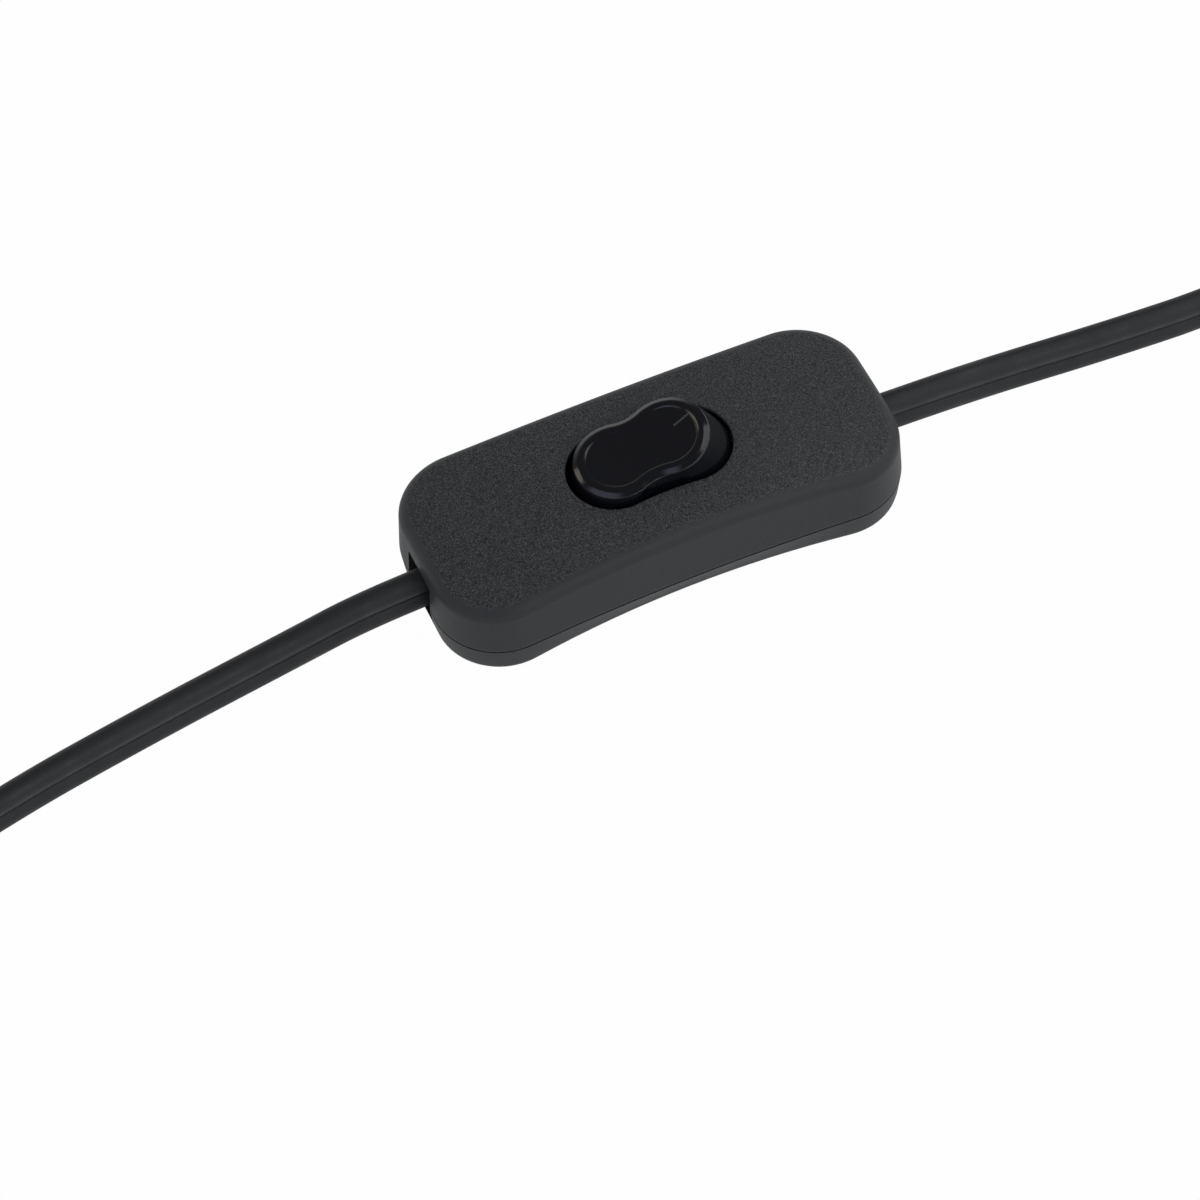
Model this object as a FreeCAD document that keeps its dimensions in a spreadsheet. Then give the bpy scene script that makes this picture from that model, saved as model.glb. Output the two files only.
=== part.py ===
import FreeCAD, Part
import math
import os
import Sketcher
from FreeCAD import Placement, Rotation, Vector

# Inline cord switch: a two-part moulded housing on a flat twin cord, with a tilting rocker that drives
# a see-saw contact through a sprung plunger. One core is switched, the other passes through a link.
# Frame: origin under the middle of the housing, +X along the cord, +Z up out of the rocker, millimetres.

# Driving dimensions in millimetres and degrees, plain numbers here. Each is also a named cell of the
# sheet, and S.name is the same number together with the formula that ties geometry to that cell.

# Housing
body_length = 62.0  # length over the housing
body_width = 26.6  # greatest width, near the ends
body_height = 14.15  # height at the middle of the crowned top
corner_round = 8.6  # radius of the four plan corners
seam_height = 4.42  # height of the parting line
seam_gap = 0.12  # shadow gap at the parting line
seam_waist = 0.75  # how far each long side draws in at the parting line
foot_waist = 1.65  # how far each long side draws in at the underside
foot_inset = 0.3  # how far the underside stands in from the parting line
foot_round = 1.5  # rounding of the lower edge
top_waist = 0.55  # how far each long side draws in at the top
top_inset = 0.6  # draft of the cover's wall
top_round = 1.95  # rounding of the upper edge
crown_drop = 2.5  # how much lower the top is at the ends than at the middle
camber_drop = 1.15  # how much lower it is over the widest place than at the middle
cover_wall = 1.7  # wall of the top cover
roof = 1.5  # thickness of the cover's roof
relief_room = 0.9  # how much wider than the clamp bars the hollow under the roof is, on each side
head_room = 0.4  # how far that hollow reaches past the clamp screws' heads
floor = 1.7  # thickness of the base's floor
base_wall = 2.6  # wall of the base, with its lip
lip_height = 1.1  # lip of the base inside the cover
lip_gap = 0.2  # clearance between lip and cover

# Cord and its way in
cord_thickness = 3.05  # one core of the flat twin cord over its insulation
cord_level = 5.2  # height of the cord's centre where it leaves the housing
slot_width = 6.6  # width of the cord slot in the end wall
slot_top = 8.6  # height of the upper edge of the cord slot
slot_floor = 2.05  # height of the lower edge of the cord slot
cord_entry = 6.4  # length of the cord inside the housing, up to where it divides into its cores
core_round = 1.4  # radius of a single core inside the housing
strand_round = 0.6  # radius of the bare strands
tinned_round = 0.55  # radius of the tinned far ends
tinned_length = 6.0  # stripped length at the far ends

# Rocker
pivot_depth = 3.85  # from the middle of the crowned top down to the rocker's axis
rest_tilt = 10.0  # tilt of the rocker from the middle, left end pressed
sweep_round = 10.75  # radius of the rocker's ends about its axis
skirt_bottom = -1.5  # lower edge of the skirt from the axis
rocker_top = 6.85  # upper end of the rocker's blank from the axis
face_level = 6.05  # middle of the dished face from the axis
dish_round = 61.0  # radius of the dished face
rim_round = 0.8  # rounding of the rim
rocker_end_round = 5.55  # plan radius of the rocker's ends
rocker_end_taper = 0.05  # how much that radius shrinks towards the top
rocker_waist = 5.3  # half width of the rocker at its waist
rocker_waist_taper = 0.45  # how much the waist draws in towards the top
rocker_wall = 1.25  # wall of the hollow rocker
rocker_crown = 1.9  # thickness under the dished face
opening_gap = 0.36  # gap between rocker and opening
opening_length = 21.2  # length of the opening in the roof
opening_lip = 0.8  # full-size depth of the opening below the top
opening_relief = 0.65  # how much wider the opening is below its lip
trunnion_round = 1.2  # radius of the rocker's trunnions
running_gap = 0.05  # radial clearance of a shaft in its hole
ear_gap = 0.45  # clearance between rocker and bearing ears
ear_thick = 1.6  # thickness of a bearing ear
ear_half = 2.4  # half width of a bearing ear
ear_drop = 2.3  # ear below the axis

# Plunger and its spring
boss_round = 2.3  # radius of the tube inside the rocker
boss_bottom = -2.0  # lower end of that tube from the axis
bore_top = 4.0  # closed end of the bore from the axis
plunger_round = 1.4  # radius of the plunger
plunger_top = 0.0  # upper end of the plunger from the axis
tip_rise = 1.4  # from the see-saw's axis up to the centre of the plunger's round tip
point_length = 0.5  # length of the taper above that centre
tip_round = 1.0  # radius of that tip
coil_round = 1.0  # mean radius of the spring
wire_round = 0.17  # radius of the spring's wire
coil_turns = 5.0  # turns of the spring

# Contacts and terminals
fulcrum_height = 5.0  # height of the see-saw's axis
blade_tilt = 8.0  # tilt of the see-saw at rest
blade_length = 16.4  # length of the see-saw
blade_width = 3.6  # width of the see-saw
blade_thick = 0.6  # thickness of the see-saw
axle_round = 0.5  # radius of the see-saw's axle
axle_length = 6.0  # length of that axle
contact_reach = 7.2  # distance of the contact rivet from the axis
contact_round = 1.3  # radius of a contact's head
contact_head = 0.45  # height of a contact's head
shank_round = 0.6  # radius of a contact's shank
strip_thick = 0.8  # thickness of the brass strips
saddle_gap = 0.4  # clearance between see-saw and saddle
saddle_half = 1.5  # half length of the saddle's uprights
block_start = 11.6  # inner face of the terminal blocks from the middle
block_length = 4.6  # length of a terminal block
block_width = 4.4  # width of a terminal block
block_height = 5.0  # height of a terminal block
block_offset = 3.4  # distance of the blocks from the centre plane
wire_height = 4.1  # height of the wire holes
wire_hole = 0.9  # radius of a wire hole
wire_depth = 3.6  # depth of a wire hole
link_inner = 4.3  # inner edge of the through link's strip
link_outer = 6.4  # outer edge of the through link's strip
barrier_thick = 1.8  # insulating barrier between the blocks

# Clamps and screws
clamp_setback = 5.0  # from the end of the housing to the middle of a cord clamp
clamp_width = 3.6  # clamp bar along the cord
clamp_length = 13.8  # clamp bar across the cord
clamp_corner = 1.2  # cut at a clamp bar's corners
clamp_thick = 1.2  # thickness of a clamp bar
clamp_screw_margin = 2.0  # from the end of a clamp bar to its screw
post_round = 2.0  # radius of a clamp post
post_gap = 0.2  # gap between clamp bar and post
guide_thick = 0.9  # ribs that keep the cord upright
guide_gap = 0.2  # clearance between cord and ribs
screw_head = 1.9  # head radius of the small screws
screw_head_height = 0.9  # head height of the small screws
screw_shank = 1.05  # shank radius of the small screws
screw_hole_gap = 0.06  # radial gap of a thread in its hole
clamp_screw_length = 5.2  # shank length of a clamp screw
case_screw_setback = 11.2  # from the end of the housing to a housing screw
case_screw_edge = 5.2  # from the widest side of the housing to a housing screw
case_boss = 2.3  # radius of a screw boss in the cover
case_base_boss = 3.1  # radius of a screw boss in the base
case_head = 2.2  # head radius of a housing screw
case_head_height = 1.4  # head height of a housing screw
case_seat = 2.1  # height of the seat under a housing screw's head
case_shank = 1.15  # shank radius of a housing screw
case_screw_length = 7.4  # shank length of a housing screw
drive_slot = 0.6  # width of a screw's drive slot
drive_depth = 0.6  # depth of a screw's drive slot

DRIVING = {name: value for name, value in globals().items() if isinstance(value, float)}

doc = FreeCAD.newDocument("InlineCordSwitch")
sheet = doc.addObject("Spreadsheet::Sheet", "Sizes")


class Size:
    """A number with the sheet formula it comes from, so that geometry and expressions always agree."""

    def __init__(self, value, formula=None):
        self.value = float(value)
        self.formula = formula if formula is not None else repr(float(value))

    def join(self, other, sign, value):
        return Size(value, "(%s %s %s)" % (self.formula, sign, other.formula))

    def __add__(self, other):
        other = as_size(other)
        return self.join(other, "+", self.value + other.value)

    def __sub__(self, other):
        other = as_size(other)
        return self.join(other, "-", self.value - other.value)

    def __mul__(self, other):
        other = as_size(other)
        return self.join(other, "*", self.value * other.value)

    def __truediv__(self, other):
        other = as_size(other)
        return self.join(other, "/", self.value / other.value)

    def __neg__(self):
        return Size(-self.value, "(0 - %s)" % self.formula)

    def __float__(self):
        return self.value


def as_size(value):
    return value if isinstance(value, Size) else Size(value)


def root(size):
    return Size(math.sqrt(size.value), "sqrt(%s)" % size.formula)


class Sizes:
    """The driving dimensions, one attribute for each named cell of the sheet."""


S = Sizes()
for row, (name, value) in enumerate(DRIVING.items(), 1):
    sheet.set("A%d" % row, name.replace("_", " "))
    sheet.set("B%d" % row, str(value))
    sheet.setAlias("B%d" % row, name)
    setattr(S, name, Size(value, "Sizes." + name))
doc.recompute()

ZERO = Size(0.0)
half_length = S.body_length / 2
half_width = S.body_width / 2
crown_round = (half_length * half_length + S.crown_drop * S.crown_drop) / (S.crown_drop * 2)
camber_round = (half_width * half_width + S.camber_drop * S.camber_drop) / (S.camber_drop * 2)
cavity_top = S.body_height - S.crown_drop - S.roof
opening_end = S.rocker_end_round + S.opening_gap
opening_waist = S.rocker_waist + S.opening_gap
ear_inner = S.rocker_waist + S.ear_gap
ear_outer = ear_inner + S.ear_thick
cord_half = S.cord_thickness
cord_end = half_length - S.cord_entry
clamp_reach = half_length - S.clamp_setback
relief_half = clamp_reach + S.screw_head + S.head_room
clamp_screw_y = S.clamp_length / 2 - S.clamp_screw_margin
case_screw_x = half_length - S.case_screw_setback
case_screw_y = half_width - S.case_screw_edge
pivot_height = S.body_height - S.pivot_depth
tip_centre = S.fulcrum_height + S.tip_rise - pivot_height
plunger_neck = tip_centre + S.point_length
clamp_bottom = S.cord_level + cord_half
strip_top = S.floor + S.strip_thick
block_end = S.block_start + S.block_length
block_centre = S.block_start + S.block_length / 2
block_top = S.floor + S.block_height
saddle_inner = S.blade_width / 2 + S.saddle_gap
saddle_outer = saddle_inner + S.strip_thick


# Sketch and feature helpers

def tie(item, prop, amount):
    item.setExpression(prop, as_size(amount).formula)


def new_body(label):
    body = doc.addObject("PartDesign::Body", label)
    body.Label = label
    return body


def new_sketch(body, role, offset=ZERO):
    """A sketch on one of the body's origin planes: XY looks down, XZ has its normal along -Y, YZ along +X."""
    sketch = body.newObject("Sketcher::SketchObject", body.Label + "_sketch")
    plane = next(item for item in body.Origin.OriginFeatures if item.Role == role)
    sketch.AttachmentSupport = [(plane, "")]
    sketch.MapMode = "FlatFace"
    sketch.AttachmentOffset = Placement(Vector(0, 0, offset.value), Rotation())
    tie(sketch, "AttachmentOffset.Base.z", offset)
    return sketch


def bound_constraint(sketch, words, amount):
    """Adds a constraint with a datum and ties the datum to its formula."""
    index = sketch.addConstraint(Sketcher.Constraint(*words, amount.value))
    tie(sketch, "Constraints[%d]" % index, amount)


def pin(sketch, geometry, point, x, y):
    """Places one point of the sketch by its two coordinates."""
    for kind, amount, axis in (("DistanceX", x, -2), ("DistanceY", y, -1)):
        if amount.value == 0.0:
            sketch.addConstraint(Sketcher.Constraint("PointOnObject", geometry, point, axis))
        elif amount.value > 0:
            bound_constraint(sketch, (kind, -1, 1, geometry, point), amount)
        else:
            bound_constraint(sketch, (kind, geometry, point, -1, 1), -amount)


def add_arc(sketch, x, y, radius, start, end):
    """An arc from one angle to another, anticlockwise, its centre and radius free to be constrained."""
    circle = Part.Circle(Vector(float(x), float(y), 0), Vector(0, 0, 1), float(radius))
    return sketch.addGeometry(Part.ArcOfCircle(circle, start, end), False)


def add_line(sketch, start, end):
    first = Vector(float(start[0]), float(start[1]), 0)
    last = Vector(float(end[0]), float(end[1]), 0)
    return sketch.addGeometry(Part.LineSegment(first, last), False)


def join(sketch, kind, first, first_point, second, second_point):
    sketch.addConstraint(Sketcher.Constraint(kind, first, first_point, second, second_point))


def draw_polygon(sketch, points):
    """A closed outline of straight lines, every corner placed by its own two values."""
    points = [(as_size(x), as_size(y)) for x, y in points]
    count = len(points)
    lines = [add_line(sketch, points[i], points[(i + 1) % count]) for i in range(count)]
    for i in range(count):
        join(sketch, "Coincident", lines[i], 2, lines[(i + 1) % count], 1)
    for line, (x, y) in zip(lines, points):
        pin(sketch, line, 1, x, y)


def draw_box(sketch, x0, x1, y0, y1):
    draw_polygon(sketch, [(x0, y0), (x1, y0), (x1, y1), (x0, y1)])


def draw_circle(sketch, x, y, radius):
    x, y, radius = as_size(x), as_size(y), as_size(radius)
    circle = Part.Circle(Vector(x.value, y.value, 0), Vector(0, 0, 1), radius.value)
    index = sketch.addGeometry(circle, False)
    pin(sketch, index, 3, x, y)
    bound_constraint(sketch, ("Radius", index), radius)


def draw_waisted_box(sketch, inset, waist):
    """The housing's plan: round corners, straight ends, long sides drawn in on one wide arc each.

    The side's arc touches both corner arcs, which fixes its radius from the depth of the waist.
    """
    cx = half_length - S.corner_round
    cy = half_width - S.corner_round
    corner = S.corner_round - inset
    side = (cx * cx - corner * waist * 2 + waist * waist) / (waist * 2)
    reach = half_width - inset - waist + side
    turn = math.atan2(reach.value - cy.value, -cx.value)
    end = half_length - inset
    right = add_line(sketch, (end, -cy), (end, cy))
    left = add_line(sketch, (-end, cy), (-end, -cy))
    corners = [add_arc(sketch, cx, cy, corner, 0, turn),
               add_arc(sketch, -cx, cy, corner, math.pi - turn, math.pi),
               add_arc(sketch, -cx, -cy, corner, math.pi, math.pi + turn),
               add_arc(sketch, cx, -cy, corner, -turn, 0)]
    far = add_arc(sketch, 0, reach, side, -turn, turn - math.pi)
    near = add_arc(sketch, 0, -reach, side, math.pi - turn, turn)
    for pair in ((right, 2, corners[0], 1), (corners[0], 2, far, 2), (far, 1, corners[1], 1),
                 (corners[1], 2, left, 1), (left, 2, corners[2], 1), (corners[2], 2, near, 2),
                 (near, 1, corners[3], 1), (corners[3], 2, right, 1)):
        join(sketch, "Tangent", *pair)
    for arc, x, y in zip(corners, (cx, -cx, -cx, cx), (cy, cy, -cy, -cy)):
        pin(sketch, arc, 3, x, y)
        bound_constraint(sketch, ("Radius", arc), corner)
    for arc in (far, near):
        bound_constraint(sketch, ("Radius", arc), side)


def draw_peanut(sketch, half, end_round, waist):
    """Two round ends joined by one inward arc on each side; half is the half length."""
    cx = half - end_round
    side = (cx * cx + waist * waist - end_round * end_round) / ((end_round - waist) * 2)
    reach = waist + side
    turn = math.atan2(reach.value, -cx.value)
    right = add_arc(sketch, cx, 0, end_round, -turn, turn)
    left = add_arc(sketch, -cx, 0, end_round, math.pi - turn, math.pi + turn)
    far = add_arc(sketch, 0, reach, side, -turn, turn - math.pi)
    near = add_arc(sketch, 0, -reach, side, math.pi - turn, turn)
    for pair in ((right, 2, far, 2), (far, 1, left, 1), (left, 2, near, 2), (near, 1, right, 1)):
        join(sketch, "Tangent", *pair)
    for arc, x in ((right, cx), (left, -cx)):
        pin(sketch, arc, 3, x, ZERO)
        bound_constraint(sketch, ("Radius", arc), end_round)
    for arc in (far, near):
        bound_constraint(sketch, ("Radius", arc), side)


def draw_arched_box(sketch, half, level, radius, flat, upward):
    """A box whose lower or upper side is an arc that passes through (0, level)."""
    sag = radius - root(radius * radius - half * half)
    centre = level - radius if upward else level + radius
    rim = level - sag if upward else level + sag
    spread = math.asin(half.value / radius.value)
    middle = math.pi / 2 if upward else -math.pi / 2
    arc = add_arc(sketch, 0, centre, radius, middle - spread, middle + spread)
    right_point, left_point = (1, 2) if upward else (2, 1)
    right = add_line(sketch, (half, rim), (half, flat))
    across = add_line(sketch, (half, flat), (-half, flat))
    left = add_line(sketch, (-half, flat), (-half, rim))
    join(sketch, "Coincident", arc, right_point, right, 1)
    join(sketch, "Coincident", right, 2, across, 1)
    join(sketch, "Coincident", across, 2, left, 1)
    join(sketch, "Coincident", left, 2, arc, left_point)
    pin(sketch, arc, 3, ZERO, centre)
    bound_constraint(sketch, ("Radius", arc), radius)
    sketch.addConstraint(Sketcher.Constraint("Vertical", right))
    sketch.addConstraint(Sketcher.Constraint("Vertical", left))
    pin(sketch, across, 1, half, flat)
    pin(sketch, across, 2, -half, flat)


def extrude(body, kind, sketch, length, symmetric=False, reverse=False):
    feature = body.newObject("PartDesign::" + kind, body.Label + "_" + kind.lower())
    feature.Profile = sketch
    feature.SideType = "Symmetric" if symmetric else "One side"
    feature.Reversed = reverse
    feature.Length = as_size(length).value
    tie(feature, "Length", length)
    body.Tip = feature
    return feature


def pad(body, sketch, length, **way):
    return extrude(body, "Pad", sketch, length, **way)


def pocket(body, sketch, length, **way):
    return extrude(body, "Pocket", sketch, length, **way)


def loft(body, kind, sketches, ruled=True):
    feature = body.newObject("PartDesign::" + kind, body.Label + "_loft")
    feature.Profile = sketches[0]
    feature.Sections = sketches[1:]
    feature.Ruled = ruled
    body.Tip = feature
    return feature


def revolve(body, sketch):
    feature = body.newObject("PartDesign::Revolution", body.Label + "_turned")
    feature.Profile = sketch
    feature.ReferenceAxis = (sketch, ["V_Axis"])
    feature.Angle = 360
    body.Tip = feature
    return feature


def shape_crown(body):
    """Cuts the cover's top to a double curve: an arc across it, turned about a distant axis along Y."""
    sketch = new_sketch(body, "YZ_Plane")
    draw_arched_box(sketch, half_width + 2, S.body_height, camber_round, S.body_height + 4, True)
    level = S.body_height - crown_round
    axis = add_line(sketch, (-10, level), (10, level))
    sketch.toggleConstruction(axis)
    pin(sketch, axis, 1, Size(-10), level)
    pin(sketch, axis, 2, Size(10), level)
    groove = body.newObject("PartDesign::Groove", body.Label + "_crown")
    groove.Profile = sketch
    groove.ReferenceAxis = (sketch, ["Axis0"])
    groove.Midplane = True
    groove.Angle = 2 * math.degrees(math.asin((half_length.value + 2) / crown_round.value))
    body.Tip = groove
    return groove


def round_face(body, radius, chosen):
    """Rounds every edge of the one face of the body's tip for which chosen(face) is true."""
    doc.recompute()
    tip = body.Tip
    names = ["Face%d" % (i + 1) for i, face in enumerate(tip.Shape.Faces) if chosen(face)]
    fillet = body.newObject("PartDesign::Fillet", body.Label + "_fillet")
    fillet.Base = (tip, names)
    fillet.Radius = radius.value
    tie(fillet, "Radius", radius)
    body.Tip = fillet
    return fillet


def is_arch(face, radius):
    return isinstance(face.Surface, Part.Cylinder) and abs(face.Surface.Radius - radius) < 0.01


# Housing

def cover_outline(body, level, inset, waist):
    sketch = new_sketch(body, "XY_Plane", level)
    draw_waisted_box(sketch, inset, waist)
    return sketch


def make_top_cover():
    body = new_body("top_cover")
    trim = Size(0.6)
    lower = cover_outline(body, S.seam_height + S.seam_gap, ZERO, S.seam_waist)
    upper = cover_outline(body, S.body_height + trim, S.top_inset, S.top_waist)
    loft(body, "AdditiveLoft", [lower, upper])
    shape_crown(body)
    top_least = S.body_height.value - S.crown_drop.value
    round_face(body, S.top_round, lambda face: face.CenterOfMass.z > top_least)
    mouth = cover_outline(body, S.seam_height + S.seam_gap, S.cover_wall, S.seam_waist)
    ceiling = cover_outline(body, cavity_top, S.cover_wall + S.top_inset, S.top_waist)
    loft(body, "SubtractiveLoft", [mouth, ceiling])
    relief = new_sketch(body, "XZ_Plane")
    arch = crown_round - S.roof
    draw_arched_box(relief, relief_half, S.body_height - S.roof, arch, cavity_top - 0.4, True)
    pocket(body, relief, S.clamp_length + S.relief_room * 2, symmetric=True)
    opening = new_sketch(body, "XY_Plane", S.body_height + 1)
    draw_peanut(opening, S.opening_length / 2, opening_end, opening_waist)
    pocket(body, opening, S.roof + 2)
    step = new_sketch(body, "XY_Plane", S.body_height - S.opening_lip)
    draw_peanut(step, S.opening_length / 2 + S.opening_relief, opening_end + S.opening_relief,
                opening_waist + S.opening_relief)
    pocket(body, step, S.roof + 1)
    slot = new_sketch(body, "YZ_Plane")
    draw_box(slot, -(S.slot_width / 2), S.slot_width / 2, S.seam_height - 1, S.slot_top)
    pocket(body, slot, S.body_length + 8, symmetric=True)
    for side in (1, -1):
        boss = new_sketch(body, "XY_Plane", S.seam_height)
        draw_circle(boss, case_screw_x * side, case_screw_y * -side, S.case_boss)
        pad(body, boss, cavity_top + 0.4 - S.seam_height)
        hole = new_sketch(body, "XY_Plane", S.seam_height)
        draw_circle(hole, case_screw_x * side, case_screw_y * -side, S.case_shank + S.screw_hole_gap)
        pocket(body, hole, S.case_seat + S.case_screw_length + 0.4 - S.seam_height, reverse=True)
    for offset in (ear_inner, -ear_outer):
        ear = new_sketch(body, "XZ_Plane", offset)
        root_level = S.body_height - S.roof + 0.3
        low = pivot_height - S.ear_drop
        draw_polygon(ear, [(-S.ear_half, root_level), (-S.ear_half, pivot_height), (-(S.ear_half / 2), low),
                           (S.ear_half / 2, low), (S.ear_half, pivot_height), (S.ear_half, root_level)])
        pad(body, ear, S.ear_thick)
    bearing = new_sketch(body, "XZ_Plane")
    draw_circle(bearing, ZERO, pivot_height, S.trunnion_round + S.running_gap)
    pocket(body, bearing, (ear_outer + 0.5) * 2, symmetric=True)
    return body


def make_base_cover():
    body = new_body("base_cover")
    sections = []
    for step in range(5):
        turn = math.radians(22.5 * step)
        rise, shrink = 1 - math.cos(turn), 1 - math.sin(turn)
        sections.append(cover_outline(body, S.foot_round * rise, S.foot_inset + S.foot_round * shrink,
                                      S.foot_waist))
    sections.append(cover_outline(body, S.seam_height, ZERO, S.seam_waist))
    loft(body, "AdditiveLoft", sections)
    lip = cover_outline(body, S.seam_height, S.cover_wall + S.lip_gap, S.seam_waist)
    pad(body, lip, S.lip_height)
    pan = cover_outline(body, S.floor, S.base_wall, S.foot_waist)
    mouth = cover_outline(body, S.seam_height + S.lip_height, S.base_wall, S.seam_waist)
    loft(body, "SubtractiveLoft", [pan, mouth])
    notch = new_sketch(body, "YZ_Plane")
    draw_box(notch, -(S.slot_width / 2), S.slot_width / 2, S.slot_floor, S.seam_height + S.lip_height + 1)
    pocket(body, notch, S.body_length + 8, symmetric=True)
    for side in (1, -1):
        near, far = cord_end * side, (half_length - S.base_wall + 0.2) * side
        anvil = new_sketch(body, "XY_Plane", S.floor)
        draw_box(anvil, near, far, -(S.slot_width / 2), S.slot_width / 2)
        pad(body, anvil, S.cord_level - cord_half - S.floor)
        for across in (1, -1):
            guide = new_sketch(body, "XY_Plane", S.floor)
            inner = (S.cord_thickness / 2 + S.guide_gap) * across
            draw_box(guide, near, far, inner, inner + S.guide_thick * across)
            pad(body, guide, S.cord_level - S.floor)
            post = new_sketch(body, "XY_Plane", S.floor)
            draw_circle(post, clamp_reach * side, clamp_screw_y * across, S.post_round)
            pad(body, post, clamp_bottom - S.post_gap - S.floor)
            pilot = new_sketch(body, "XY_Plane", clamp_bottom - S.post_gap)
            draw_circle(pilot, clamp_reach * side, clamp_screw_y * across,
                        S.screw_shank + S.screw_hole_gap)
            pocket(body, pilot, S.clamp_screw_length + 0.3)
        barrier = new_sketch(body, "XY_Plane", S.floor)
        draw_box(barrier, (S.block_start + 0.3) * side, block_end * side, -(S.barrier_thick / 2),
                 S.barrier_thick / 2)
        pad(body, barrier, S.block_height - 0.6)
        x, y = case_screw_x * side, case_screw_y * -side
        boss = new_sketch(body, "XY_Plane", S.floor)
        draw_circle(boss, x, y, S.case_base_boss)
        pad(body, boss, S.seam_height - S.floor)
        way = new_sketch(body, "XY_Plane", S.seam_height + 1)
        draw_circle(way, x, y, S.case_shank + 0.25)
        pocket(body, way, S.seam_height + 2)
        seat = new_sketch(body, "XY_Plane")
        draw_circle(seat, x, y, S.case_head + 0.3)
        pocket(body, seat, S.case_seat, reverse=True)
    return body


# Rocker, plunger and spring, in a frame of their own with its origin on the rocker's axis

def rocker_section(body, level):
    """The rocker's plan at one level: its ends lie on the sweep about the axis, and it narrows upwards."""
    half = root(S.sweep_round * S.sweep_round - level * level)
    rise = (level - S.skirt_bottom) / (S.rocker_top - S.skirt_bottom)
    share = rise * rise
    sketch = new_sketch(body, "XY_Plane", level)
    draw_peanut(sketch, half, S.rocker_end_round - S.rocker_end_taper * share,
                S.rocker_waist - S.rocker_waist_taper * share)
    return sketch


def seat_on_pivot(item):
    """Carries a piece from the rocker's own frame to its rest pose: left end pressed."""
    turn = Rotation(Vector(0, 1, 0), -S.rest_tilt.value)
    item.Placement = Placement(Vector(0, 0, pivot_height.value), turn)
    tie(item, "Placement.Base.z", pivot_height)
    tie(item, "Placement.Rotation.Angle", S.rest_tilt)
    item.Placement.Rotation.Axis = Vector(0, -1, 0)


def make_rocker():
    body = new_body("rocker")
    span = S.rocker_top - S.skirt_bottom
    levels = [S.skirt_bottom + span * share for share in (0.0, 0.38, 0.63, 0.83, 1.0)]
    loft(body, "AdditiveLoft", [rocker_section(body, level) for level in levels], ruled=False)
    dish = new_sketch(body, "XZ_Plane")
    draw_arched_box(dish, S.sweep_round + 1, S.face_level, S.dish_round, S.rocker_top + 3, False)
    pocket(body, dish, S.rocker_end_round * 2 + 4, symmetric=True)
    round_face(body, S.rim_round, lambda face: is_arch(face, S.dish_round.value))
    hollow = new_sketch(body, "XY_Plane", S.skirt_bottom)
    roof_level = S.face_level - S.rocker_crown
    inner_half = root(S.sweep_round * S.sweep_round - roof_level * roof_level) - S.rocker_wall
    draw_peanut(hollow, inner_half, S.rocker_end_round - S.rocker_wall, S.rocker_waist - S.rocker_wall)
    pocket(body, hollow, roof_level - S.skirt_bottom, reverse=True)
    boss = new_sketch(body, "XY_Plane", S.boss_bottom)
    draw_circle(boss, ZERO, ZERO, S.boss_round)
    pad(body, boss, roof_level + 0.3 - S.boss_bottom)
    bore = new_sketch(body, "XY_Plane", S.boss_bottom)
    draw_circle(bore, ZERO, ZERO, S.plunger_round + S.running_gap)
    pocket(body, bore, S.bore_top - S.boss_bottom, reverse=True)
    inner = S.rocker_waist - S.rocker_wall / 2
    outer = ear_outer - 0.15
    for offset in (inner, -outer):
        stub = new_sketch(body, "XZ_Plane", offset)
        draw_circle(stub, ZERO, ZERO, S.trunnion_round)
        pad(body, stub, outer - inner)
    seat_on_pivot(body)
    return body


def make_plunger():
    body = new_body("plunger")
    sketch = new_sketch(body, "XZ_Plane")
    tip = tip_centre - S.tip_round
    corners = [(ZERO, S.plunger_top), (S.plunger_round, S.plunger_top), (S.plunger_round, plunger_neck),
               (S.tip_round, tip_centre)]
    lines = [add_line(sketch, corners[i], corners[i + 1]) for i in range(3)]
    arc = add_arc(sketch, 0, tip_centre, S.tip_round, -math.pi / 2, 0)
    axis = add_line(sketch, (ZERO, tip), (ZERO, S.plunger_top))
    join(sketch, "Coincident", lines[0], 2, lines[1], 1)
    join(sketch, "Coincident", lines[1], 2, lines[2], 1)
    join(sketch, "Coincident", lines[2], 2, arc, 2)
    join(sketch, "Coincident", arc, 1, axis, 1)
    join(sketch, "Coincident", axis, 2, lines[0], 1)
    for line, (x, y) in zip(lines, corners):
        pin(sketch, line, 1, x, y)
    pin(sketch, arc, 3, ZERO, tip_centre)
    pin(sketch, arc, 2, S.tip_round, tip_centre)
    sketch.addConstraint(Sketcher.Constraint("PointOnObject", arc, 1, -2))
    revolve(body, sketch)
    seat_on_pivot(body)
    return body


def make_spring():
    """A round wire wound between the plunger's top and the closed end of its bore."""
    clear = 0.02
    low = S.plunger_top.value + S.wire_round.value + clear
    high = S.bore_top.value - S.wire_round.value - clear
    height = high - low
    helix = Part.makeHelix(height / S.coil_turns.value, height, S.coil_round.value)
    helix.translate(Vector(0, 0, low))
    start = Vector(S.coil_round.value, 0, low)
    profile = Part.Wire(Part.makeCircle(S.wire_round.value, start, Vector(0, 1, 0)))
    feature = doc.addObject("Part::Feature", "plunger_spring")
    feature.Shape = Part.Wire(helix.Edges).makePipeShell([profile], True, True)
    feature.Label = "plunger_spring"
    seat_on_pivot(feature)
    return feature


# See-saw contact and the brass that carries it

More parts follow.
